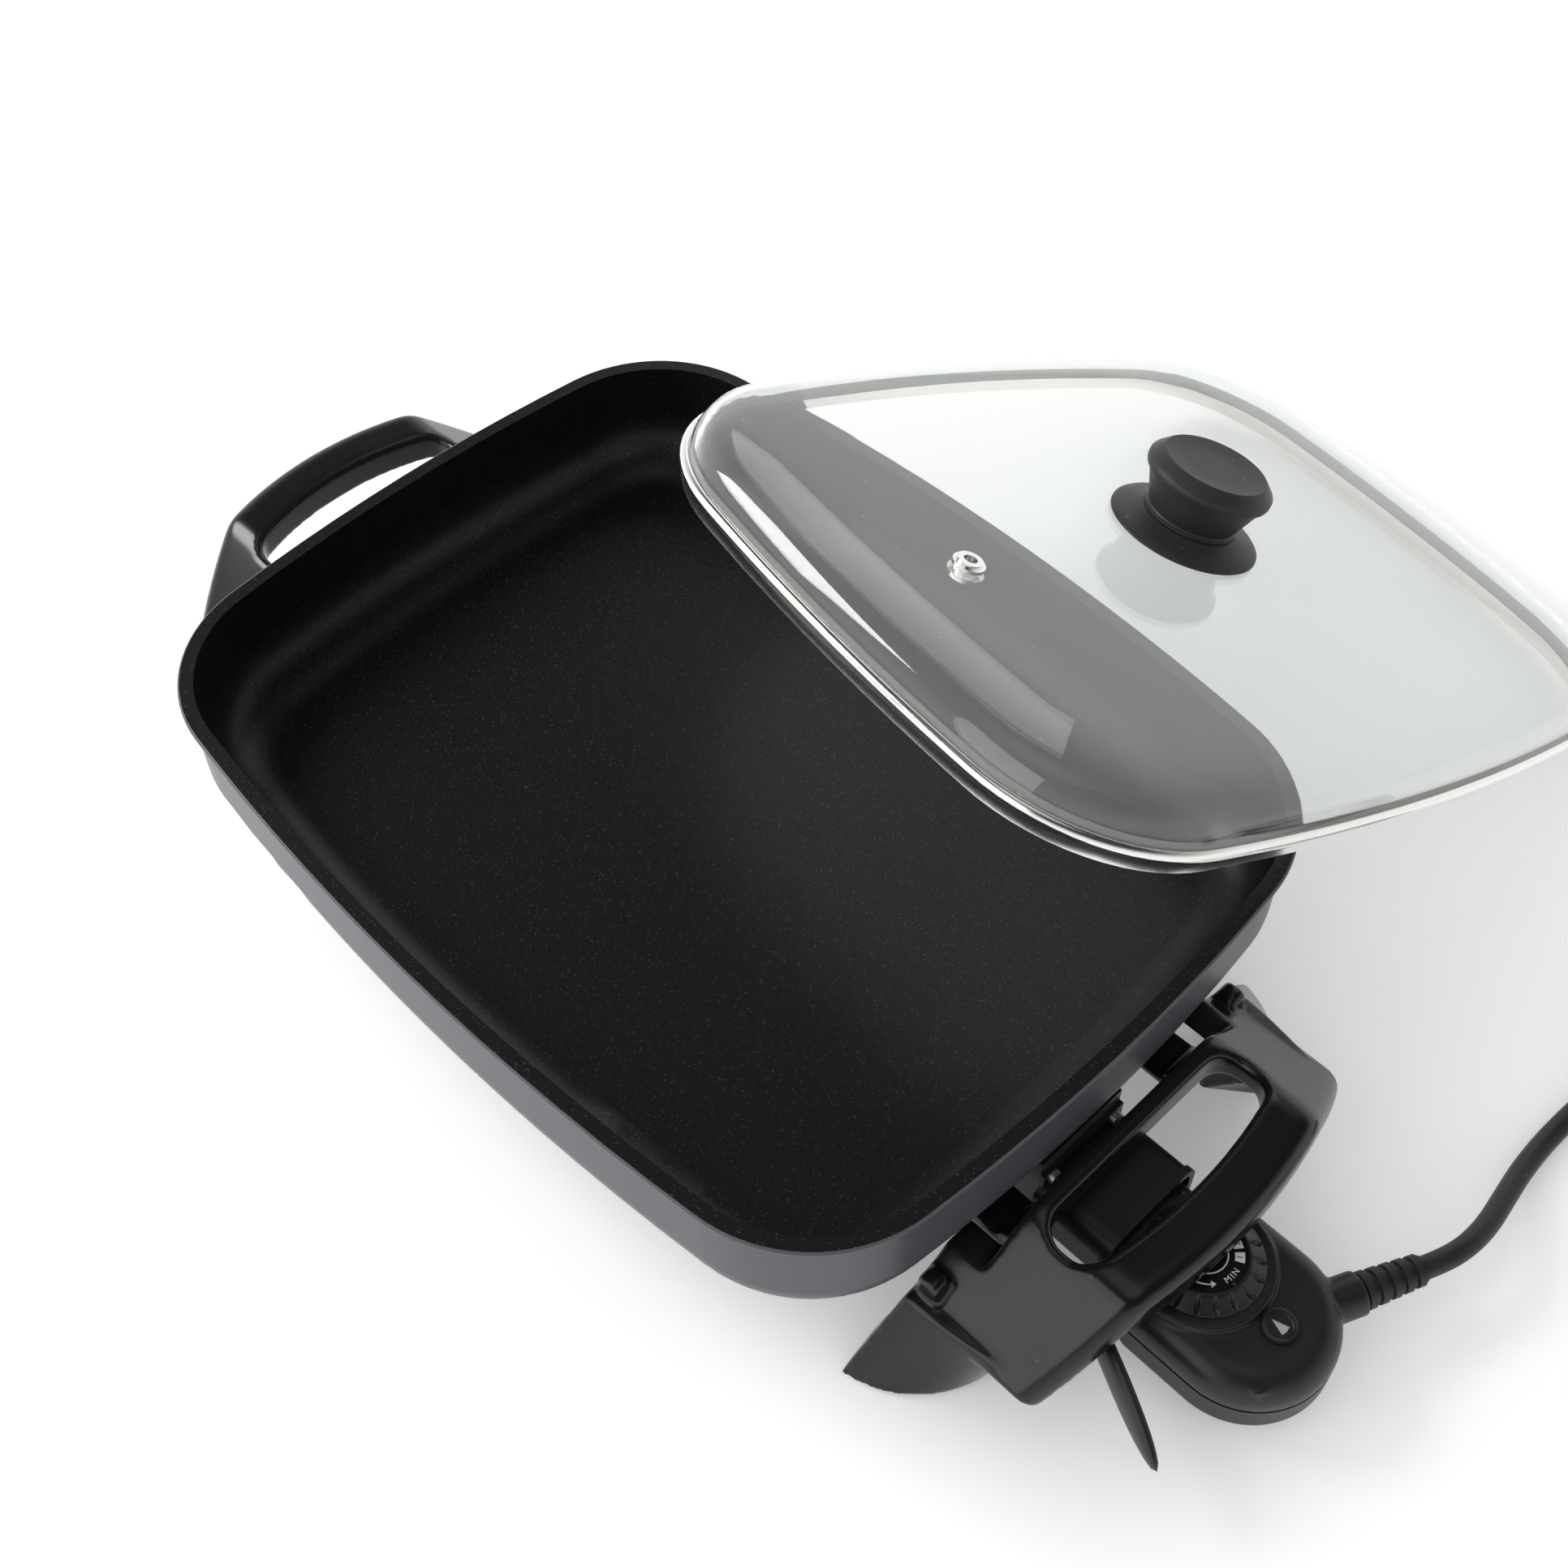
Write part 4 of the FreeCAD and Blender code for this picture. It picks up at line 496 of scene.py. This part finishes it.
# %% Rubber, metal, ceramic
rubber_black, shader = finish("cord_rubber", (0.016, 0.016, 0.017), 0.45, specular=0.4)
g = group_in(rubber_black, grain, Scale=1500.0)
spread(rubber_black, shader, g.outputs["Cloud"], 0.40, 0.55)
mixed_colour(rubber_black, shader, g.outputs["Dust"], (0.016, 0.016, 0.017), (0.16, 0.16, 0.16))
bump(rubber_black, shader, g.outputs["Height"], 0.00006, 0.5)
dress(rubber_black, "strain_relief", "plug_body", "plug_relief", "foot_pads_front", "foot_pads_rear")
cord_data.materials.append(rubber_black)

steel, shader = finish("bright_steel", (0.62, 0.62, 0.61), 0.28, metallic=1.0)
b = group_in(steel, brushed, Scale=1200.0)
spread(steel, shader, b.outputs["Lines"], 0.18, 0.40)
bump(steel, shader, b.outputs["Lines"], 0.00004, 0.3)
dress(steel, "guard_screws", "bracket_screws_front", "bracket_screws_rear", "lever_pin", "probe_guide_tube",
      "sensor_rod", "housing_screws", "thermostat_frame", "knob_screw", "element_terminals")

dull_steel, shader = finish("element_sheath", (0.16, 0.15, 0.15), 0.5, metallic=1.0)
b = group_in(dull_steel, brushed, Scale=500.0)
spread(dull_steel, shader, b.outputs["Lines"], 0.4, 0.65)
dress(dull_steel, "heating_element")

polished, shader = finish("lid_band_polished", (0.92, 0.91, 0.89), 0.18, metallic=1.0)
b = group_in(polished, brushed, Scale=1500.0)
spread(polished, shader, b.outputs["Lines"], 0.13, 0.26)
dress(polished, "lid_band", "steam_vent", "vent_collar", "knob_washer")

brass, shader = finish("contact_brass", (0.70, 0.50, 0.22), 0.25, metallic=1.0)
b = group_in(brass, brushed, Scale=1300.0)
spread(brass, shader, b.outputs["Lines"], 0.18, 0.35)
dress(brass, "control_contacts", "bimetal_blade", "dial_shaft", "plug_pins")

ceramic, shader = finish("terminal_cream", (0.62, 0.58, 0.50), 0.55)
g = group_in(ceramic, grain, Scale=900.0)
spread(ceramic, shader, g.outputs["Cloud"], 0.45, 0.65)
mixed_colour(ceramic, shader, g.outputs["Dust"], (0.62, 0.58, 0.50), (0.3, 0.27, 0.22))
dress(ceramic, "terminal_block", "cord_clamp")

seal_grey, shader = finish("seal_grey", (0.30, 0.30, 0.29), 0.5)
g = group_in(seal_grey, grain, Scale=700.0)
spread(seal_grey, shader, g.outputs["Cloud"], 0.42, 0.6)
mixed_colour(seal_grey, shader, g.outputs["Dust"], (0.30, 0.30, 0.29), (0.5, 0.5, 0.5))
dress(seal_grey, "lid_seal", "knob_seal")

lamp_amber, shader = finish("lamp_amber", (0.55, 0.20, 0.05), 0.2)
g = group_in(lamp_amber, grain, Scale=900.0)
spread(lamp_amber, shader, g.outputs["Cloud"], 0.12, 0.3)
dress(lamp_amber, "pilot_lamp")
print("metals ready")

# %% [markdown]
# The lid's glass is clear with a slight grey-green. Both faces tint what is seen through, so
# the colour is weak. A little of the light is scattered, as by a thin film of grease, and
# droplet marks are small round patches where the surface is a bit rougher.

# %% Glass
lid_glass_finish, shader = finish("lid_glass_clear", (0.915, 0.94, 0.915), 0.0)
shader.inputs["Transmission Weight"].default_value = 0.94
shader.inputs["IOR"].default_value = 1.5
g = group_in(lid_glass_finish, grain, Scale=500.0)
spread(lid_glass_finish, shader, g.outputs["Dust"], 0.0, 0.35)
dress(lid_glass_finish, "lid_glass")
print("glass ready")

# %% [markdown]
# Many pieces are turned shapes or shapes carried round an outline. Two helpers do that work:
# one spins a drawn profile about an upright axis, the other carries a profile round the lid's
# rounded outline. Both merge doubled points and turn the faces outward.

# %% Helpers for pieces
LID_AT = (53.02, 204.17, 82.41)
LID_YAW = 80.93
LID_PITCH = 23.396
LID_ROLL = -0.661
LID_PLACE = (Matrix.Translation(at(*LID_AT))
             @ Matrix.Rotation(math.radians(LID_YAW), 4, "Z")
             @ Matrix.Rotation(math.radians(LID_PITCH), 4, "Y")
             @ Matrix.Rotation(math.radians(LID_ROLL), 4, "X")
             @ Matrix.Scale(0.001, 4))
TABLE_PLACE = Matrix.Translation(at(0, 0, 0)) @ Matrix.Scale(0.001, 4)


def only(piece):
    bpy.ops.object.select_all(action="DESELECT")
    piece.select_set(True)
    bpy.context.view_layer.objects.active = piece


def edit_all(piece):
    only(piece)
    bpy.ops.object.mode_set(mode="EDIT")
    bpy.ops.mesh.select_all(action="SELECT")


def tidy_mesh(piece, merge=0.0005, angle=35):
    edit_all(piece)
    bpy.ops.mesh.remove_doubles(threshold=merge)
    bpy.ops.mesh.normals_make_consistent(inside=False)
    bpy.ops.object.mode_set(mode="OBJECT")
    bpy.ops.object.shade_smooth_by_angle(angle=math.radians(angle))


def new_piece(name, points, edges=(), faces=()):
    mesh = bpy.data.meshes.new(name)
    mesh.from_pydata([tuple(p) for p in points], list(edges), list(faces))
    mesh.update()
    piece = bpy.data.objects.new(name, mesh)
    bpy.context.scene.collection.objects.link(piece)
    return piece


def settle(piece, place, body, material, slot, *stands_for):
    piece.data.transform(place)
    piece.data.materials.clear()
    piece.data.materials.append(material)
    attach(piece, body)
    if stands_for:
        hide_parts(*stands_for)
    print(piece.name, "faces", len(piece.data.polygons))
    return piece


def spun(name, profile, centre=(0, 0), steps=96, angle=35):
    points = [(centre[0] + r, centre[1], z) for r, z in profile]
    piece = new_piece(name, points, [(i, i + 1) for i in range(len(points) - 1)])
    edit_all(piece)
    bpy.ops.mesh.spin(steps=steps, angle=2 * math.pi, center=(*centre, 0), axis=(0, 0, 1))
    bpy.ops.object.mode_set(mode="OBJECT")
    tidy_mesh(piece, angle=angle)
    return piece


print("piece helpers ready")

# %% [markdown]
# The lid's outline is four long flat arcs joined by four corner arcs. Each point of it keeps
# its own way inward, so that a profile can be carried round it at any inset.

# %% Outline of the lid
LID_HALF = (197.0, 156.0)
LONG_ARC = 1133.0
SHORT_ARC = 846.0


def outline_points(half_x, half_y, corner, per_corner=14, per_side=14):
    mid_long = Vector((0, half_y - LONG_ARC))
    mid_short = Vector((half_x - SHORT_ARC, 0))
    reach_long, reach_short = LONG_ARC - corner, SHORT_ARC - corner
    gap = mid_short - mid_long
    run = (reach_long ** 2 - reach_short ** 2 + gap.length_squared) / (2 * gap.length)
    side = math.sqrt(reach_long ** 2 - run ** 2)
    way = gap.normalized()
    options = [mid_long + way * run + Vector((-way.y, way.x)) * side * s for s in (-1, 1)]
    mid_corner = [o for o in options if o.x > 0 and o.y > 0][0]
    turn_long = math.atan2(mid_corner.y - mid_long.y, mid_corner.x - mid_long.x)
    turn_short = math.atan2(mid_corner.y - mid_short.y, mid_corner.x - mid_short.x)
    quarter = []
    for i in range(per_side):
        a = turn_short * i / per_side
        quarter.append((mid_short.x + SHORT_ARC * math.cos(a), SHORT_ARC * math.sin(a), a))
    for i in range(per_corner + 1):
        a = turn_short + (turn_long - turn_short) * i / per_corner
        quarter.append((mid_corner.x + corner * math.cos(a), mid_corner.y + corner * math.sin(a), a))
    for i in range(1, per_side):
        a = turn_long + (math.pi / 2 - turn_long) * i / per_side
        quarter.append((LONG_ARC * math.cos(a), mid_long.y + LONG_ARC * math.sin(a), a))
    full = list(quarter) + [(0.0, half_y, math.pi / 2)]
    full += [(-x, y, math.pi - a) for x, y, a in reversed(quarter)]
    full += [(-x, -y, math.pi + a) for x, y, a in quarter[1:]] + [(0.0, -half_y, -math.pi / 2)]
    full += [(x, -y, -a) for x, y, a in reversed(quarter[1:])]
    return full


lid_outline = outline_points(*LID_HALF, 76.0)
print("outline points", len(lid_outline))


def carried(name, profile, outline, closed=True, angle=35):
    # profile is (inset, height) pairs; the faces join each ring of the outline to the next
    count = len(profile)
    points = [(x - inset * math.cos(a), y - inset * math.sin(a), z)
              for x, y, a in outline for inset, z in profile]
    faces = []
    for i in range(len(outline)):
        j = (i + 1) % len(outline)
        for k in range(count if closed else count - 1):
            m = (k + 1) % count
            faces.append((i * count + k, j * count + k, j * count + m, i * count + m))
    piece = new_piece(name, points, (), faces)
    tidy_mesh(piece, 0.0005, angle)
    return piece


# %% [markdown]
# The lid's metal band is one strip rolled round the glass edge, with a thin skirt below it that
# drops into the pan. The rolled part is a small round bead, which is what gives the long bright
# line; the groove between bead and skirt stays dark.

# %% Lid band
BEAD_R = 2.5
BEAD_GAP = 0.7
BEAD_MID = 2.3
BEAD_HALF_HEIGHT = 2.8
band_profile = [(4.4, -0.3), (4.5, -5.6), (4.1, -6.0), (3.6, -5.8), (3.5, -1.6), (3.2, -0.9)] + \
    [(BEAD_GAP + BEAD_R * (1 - math.cos(math.radians(a))),
      BEAD_MID + BEAD_HALF_HEIGHT * math.sin(math.radians(a))) for a in range(-75, 200, 18)]
band = carried("rolled_band", band_profile, lid_outline, angle=50)
settle(band, LID_PLACE, "lid", polished, "polished", "lid_band")

# %% [markdown]
# The glass is pressed: a steep wall at the rim, a rounded shoulder and a very slightly domed
# top. The same profile is carried round the outline and closed in the middle, then Solidify
# gives it its wall, so both faces are there for the light to bend at.

# %% Lid glass
GLASS_WALL = 3.6
DOME_STEPS = ((0.72, 0.25), (0.62, 0.25), (0.45, 0.2), (0.02, 0.1))
glass_profile = [(3.4, 1.6), (3.6, 5.0), (4.2, 9.0), (5.6, 13.0), (7.6, 16.4), (10.4, 18.7),
                 (13.8, 20.3), (18.0, 21.5), (24.0, 22.6), (34.0, 23.5), (47.0, 23.9), (60.0, 24.2)]
glass = carried("pressed_glass", glass_profile, lid_outline, closed=False, angle=60)
only(glass)
rim_height = glass_profile[-1][1]
for face in glass.data.polygons:
    face.select = False
for vertex in glass.data.vertices:
    vertex.select = abs(vertex.co.z - rim_height) < 0.01
for edge in glass.data.edges:
    edge.select = all(glass.data.vertices[v].select for v in edge.vertices)
bpy.ops.object.mode_set(mode="EDIT")
for shrink, rise in DOME_STEPS:
    bpy.ops.mesh.extrude_region_move()
    bpy.ops.transform.resize(value=(shrink, shrink, 1), center_override=(0, 0, rim_height))
    bpy.ops.transform.translate(value=(0, 0, rise))
bpy.ops.mesh.merge(type="CENTER")
bpy.ops.object.mode_set(mode="OBJECT")
tidy_mesh(glass, 0.0005, 60)
wall = glass.modifiers.new("wall", "SOLIDIFY")
wall.thickness = GLASS_WALL
wall.offset = -1
only(glass)
bpy.ops.object.modifier_apply(modifier="wall")
bpy.ops.object.shade_smooth_by_angle(angle=math.radians(50))
settle(glass, LID_PLACE, "lid", lid_glass_finish, "glass", "lid_glass")

# %% [markdown]
# The knob is three turned mouldings: a flared foot, a neck that widens upward and a cap with a
# shallow dish. Drawing each profile with small rounded corners gives the edges that catch light.

# %% Knob
foot_profile = [(5.2, 25.05), (32.2, 25.05), (33.0, 25.6), (32.9, 26.4), (31.6, 27.5), (28.2, 28.7),
                (23.4, 30.3), (21.6, 31.2), (20.9, 31.6), (5.2, 31.6)]
neck_profile = [(5.2, 31.7), (19.8, 31.7), (20.6, 32.1), (20.6, 32.9), (19.9, 33.3), (19.6, 34.0),
                (25.6, 48.5), (25.7, 49.0), (5.2, 49.0)]
cap_profile = [(0, 49.1), (26.0, 49.1), (27.1, 49.5), (27.5, 50.4), (27.5, 52.6), (27.1, 53.3),
               (23.2, 57.1), (22.5, 57.5), (21.6, 57.4), (17.0, 56.5), (12.0, 56.2), (0, 56.1)]
knob_parts = (("knob_flange", foot_profile, "knob_foot"),
              ("knob_neck", neck_profile, "knob_body"),
              ("knob_top", cap_profile, "knob_cap"))
for name, profile, node in knob_parts:
    turned = spun(name, profile, angle=32)
    settle(turned, LID_PLACE, "lid", charcoal, "charcoal", node)

# %% [markdown]
# The dial has a flat glossy face and a sloping skirt with leaf-shaped finger notches. The skirt
# is a fine polar net whose height dips at each notch, deepest half-way down the slope.

# %% Dial skirt
DIAL = (255.0, -9.0)
NOTCHES = 18
NOTCH_DEPTH = 1.3
NOTCH_MID_R = 19.4
NOTCH_HALF_R = 3.0
SKIRT_FOOT = 42.0
skirt = [(0.0, 46.6), (14.8, 46.6), (15.1, 47.1), (15.7, 47.15), (16.3, 46.9), (17.2, 46.2), (18.2, 45.4),
         (19.2, 44.6), (20.2, 43.8), (21.1, 43.1), (21.9, 42.6), (22.3, 42.2), (22.3, 41.85), (0.0, 41.85)]
steps = 288
points, faces = [], []
for i in range(steps):
    a = 2 * math.pi * i / steps
    away = abs(((a * NOTCHES / (2 * math.pi)) + 0.5) % 1 - 0.5) * 2
    for r, z in skirt:
        slope = max(0.0, 1 - ((r - NOTCH_MID_R) / NOTCH_HALF_R) ** 2) if z > SKIRT_FOOT else 0.0
        notch_width = 0.30 * max(slope, 0.05) ** 0.5 + 0.02
        dip = NOTCH_DEPTH * slope * max(0.0, 1 - (away / notch_width) ** 2)
        reach = r - 0.4 * dip
        points.append((DIAL[0] + reach * math.cos(a), DIAL[1] + reach * math.sin(a), z - dip))
for i in range(steps):
    for k in range(len(skirt) - 1):
        j = (i + 1) % steps
        n = len(skirt)
        faces.append((i * n + k, j * n + k, j * n + k + 1, i * n + k + 1))
dial = new_piece("notched_dial", points, (), faces)
tidy_mesh(dial, 0.0005, 30)
settle(dial, TABLE_PLACE, "dial", satin_black, "charcoal", "dial_ring")
plate_profile = [(0, 46.62), (14.4, 46.62), (14.6, 46.8), (14.45, 47.0), (0, 47.02)]
dial_plate = spun("dial_plate", plate_profile, DIAL, 96, 30)
settle(dial_plate, TABLE_PLACE, "dial", face_black, "face", "dial_face")

# %% [markdown]
# The dial's print is generic: MIN, the steps 1 to 5 and MAX, a thin ring and a curved arrow.
# Letters are text turned into a mesh; all of them lie a hair above the glossy face, with their
# feet outward, and run anticlockwise as on the real one.

# %% Dial print
print_white, shader = finish("print_white", (0.72, 0.72, 0.70), 0.45)
g = group_in(print_white, grain, Scale=1500.0)
mixed_colour(print_white, shader, g.outputs["Cloud"], (0.68, 0.68, 0.66), (0.78, 0.78, 0.76))
print_black, shader = finish("print_black", (0.01, 0.01, 0.01), 0.4)
g = group_in(print_black, grain, Scale=1500.0)
mixed_colour(print_black, shader, g.outputs["Cloud"], (0.008, 0.008, 0.008), (0.016, 0.016, 0.016))
PRINT_Z = 47.06
LETTER_SIZE = 3.3
WORD_R = 12.0
STEP_ANGLE = 25
WINDOW = (10.2, 13.7)
WINDOW_HALF_ANGLE = 9


def on_dial(radius, degrees, lift=0.0):
    a = math.radians(degrees)
    return (DIAL[0] + radius * math.cos(a), DIAL[1] + radius * math.sin(a), PRINT_Z + lift)


def letter(name, text, degrees, radius, size, material, lift):
    only_text = bpy.data.curves.new(name, "FONT")
    only_text.body = text
    only_text.size = size
    only_text.align_x = "CENTER"
    only_text.align_y = "CENTER"
    only_text.resolution_u = 4
    piece = bpy.data.objects.new(name, only_text)
    bpy.context.scene.collection.objects.link(piece)
    only(piece)
    bpy.ops.object.convert(target="MESH")
    piece = bpy.context.object
    turn = Matrix.Rotation(math.radians(degrees) + math.pi / 2, 4, "Z")
    spot = Matrix.Translation(on_dial(radius, degrees, lift))
    return settle(piece, TABLE_PLACE @ spot @ turn, "dial", material, "face")


def ring_part(name, inner, outer, start, end, material, lift, count=48):
    points = []
    for i in range(count + 1):
        degrees = start + (end - start) * i / count
        points += [on_dial(inner, degrees, lift), on_dial(outer, degrees, lift)]
    faces = [(2 * i, 2 * i + 1, 2 * i + 3, 2 * i + 2) for i in range(count)]
    piece = new_piece(name, points, (), faces)
    return settle(piece, TABLE_PLACE, "dial", material, "face")


ring_part("dial_thin_ring", 7.6, 8.1, 0, 360, print_white, 0.0, 96)
ring_part("dial_arrow_line", 11.7, 12.2, -125, -42, print_white, 0.0, 60)
arrow = [on_dial(10.6, -43), on_dial(13.2, -43), on_dial(12.0, -34)]
settle(new_piece("dial_arrow_head", arrow, (), [(0, 1, 2)]), TABLE_PLACE, "dial", print_white, "face")
for k, (text, degrees) in enumerate((("M", -12), ("I", -2), ("N", 8))):
    letter("dial_min_%d" % k, text, degrees, WORD_R, LETTER_SIZE, print_white, 0.0)
for k in range(1, 6):
    middle = 12 + STEP_ANGLE * k
    ring_part("dial_window_%d" % k, *WINDOW, middle - WINDOW_HALF_ANGLE, middle + WINDOW_HALF_ANGLE,
              print_white, 0.0, 12)
    letter("dial_number_%d" % k, str(k), middle, sum(WINDOW) / 2, LETTER_SIZE, print_black, 0.03)
for k, (text, degrees) in enumerate((("M", 160), ("A", 171), ("X", 182))):
    letter("dial_max_%d" % k, text, degrees, WORD_R, LETTER_SIZE, print_white, 0.0)

# %% [markdown]
# The small pilot button has a raised ring, a shallow dish and a pale triangle that points to
# the dial.

# %% Pilot button
LENS = (289.0, -9.0)
MARK_Z = 39.98
button_profile = [(0, 39.05), (6.6, 39.05), (6.7, 40.2), (6.4, 40.9), (5.9, 41.1), (5.4, 40.9),
                  (5.1, 40.2), (4.6, 39.9), (0, 39.9)]
button = spun("pilot_button", button_profile, LENS, 64, 30)
settle(button, TABLE_PLACE, "control", satin_black, "lens", "pilot_lens")
mark_grey, shader = finish("mark_grey", (0.32, 0.36, 0.38), 0.35)
g = group_in(mark_grey, grain, Scale=1500.0)
mixed_colour(mark_grey, shader, g.outputs["Cloud"], (0.28, 0.32, 0.34), (0.38, 0.42, 0.44))
triangle = [(LENS[0] + x, LENS[1] + y, MARK_Z) for x, y in ((-3.6, 0), (2.6, -2.1), (3.0, 0), (2.6, 2.1))]
mark = new_piece("pilot_triangle", triangle, (), [(0, 1, 2, 3)])
settle(mark, TABLE_PLACE, "control", mark_grey, "lens")

# %% [markdown]
# The handle brackets and the control's shells are moulded with soft edges everywhere. A copy
# of each solid is merged, remeshed in small even cells and relaxed, so that every edge and
# every join between two forms turns into a small smooth curve.

# %% Softened mouldings
def softened(name, node, cell, rounds, body, material, slot):
    source = nodes[node]
    piece = bpy.data.objects.new(name, source.data.copy())
    bpy.context.scene.collection.objects.link(piece)
    edit_all(piece)
    bpy.ops.mesh.remove_doubles(threshold=0.000005)
    bpy.ops.object.mode_set(mode="OBJECT")
    cells = piece.modifiers.new("cells", "REMESH")
    cells.mode = "VOXEL"
    cells.voxel_size = cell
    cells.use_smooth_shade = True
    bpy.ops.object.modifier_apply(modifier="cells")
    relax = piece.modifiers.new("relax", "SMOOTH")
    relax.factor = 0.5
    relax.iterations = rounds
    bpy.ops.object.modifier_apply(modifier="relax")
    return settle(piece, Matrix.Identity(4), body, material, slot, node)


HANDLE_CELL = 0.0011
SHELL_CELL = 0.0007
RELAX_ROUNDS = 14
softened("front_handle", "front_bracket", HANDLE_CELL, RELAX_ROUNDS, "base", gloss_black, "gloss_black")
softened("rear_handle", "rear_bracket", HANDLE_CELL, RELAX_ROUNDS, "base", gloss_black, "gloss_black")
softened("control_shell", "control_upper", SHELL_CELL, RELAX_ROUNDS, "control", satin_black, "matte_black")

# %% [markdown]
# The ejector lever is a leaf: thin at both edges, with a ridge along its middle, swelling from
# the pivot and closing to a rounded tip. Sections set along its length are joined into a skin.

# %% Ejector lever
LEVER_LENGTH = 60.4
LEVER_PIVOT = (237.0, -50.0)
LEVER_ANGLE = -27.0
LEVER_HALF = 9.6
LEVER_THICK = 2.9
LEVER_Z = 35.6
lever_turn = Matrix.Translation((*LEVER_PIVOT, 0)) @ Matrix.Rotation(math.radians(LEVER_ANGLE), 4, "Z")
sections = 28
around = 20
points, faces = [], []
for i in range(sections + 1):
    t = i / sections
    x = LEVER_LENGTH * t
    swell = 0.72 + 0.28 * math.sin(math.pi * min(1.0, t * 1.05))
    half = LEVER_HALF * (1 - t ** 5.5) ** 0.5 * swell + 0.05
    thick = LEVER_THICK * (1 - t ** 6) ** 0.5 + 0.05
    middle = LEVER_Z - 0.8 * t
    for k in range(around):
        a = 2 * math.pi * k / around
        ridge = abs(math.cos(a)) ** 0.8 * (1 if math.cos(a) > 0 else -1)
        points.append((x, thick * ridge, middle + half * math.sin(a)))
for i in range(sections):
    for k in range(around):
        m = (k + 1) % around
        faces.append((i * around + k, (i + 1) * around + k, (i + 1) * around + m, i * around + m))
faces.append(tuple(range(around)))
faces.append(tuple(sections * around + k for k in range(around)))
leaf = new_piece("lever_leaf", points, (), faces)
tidy_mesh(leaf, 0.0005, 60)
eye_profile = [(2.05, 26.2), (4.6, 26.2), (5.0, 26.6), (5.0, 45.4), (4.6, 45.8), (2.05, 45.8), (2.05, 26.2)]
eye = spun("lever_eye", eye_profile, (0, 0), 48, 30)
only(leaf)
eye.select_set(True)
bpy.ops.object.join()
settle(leaf, TABLE_PLACE @ lever_turn, "lever", satin_black, "matte_black", "ejector_lever")

# %% [markdown]
# Last, the view layer is brought up to date.

# %% Finish
bpy.context.view_layer.update()
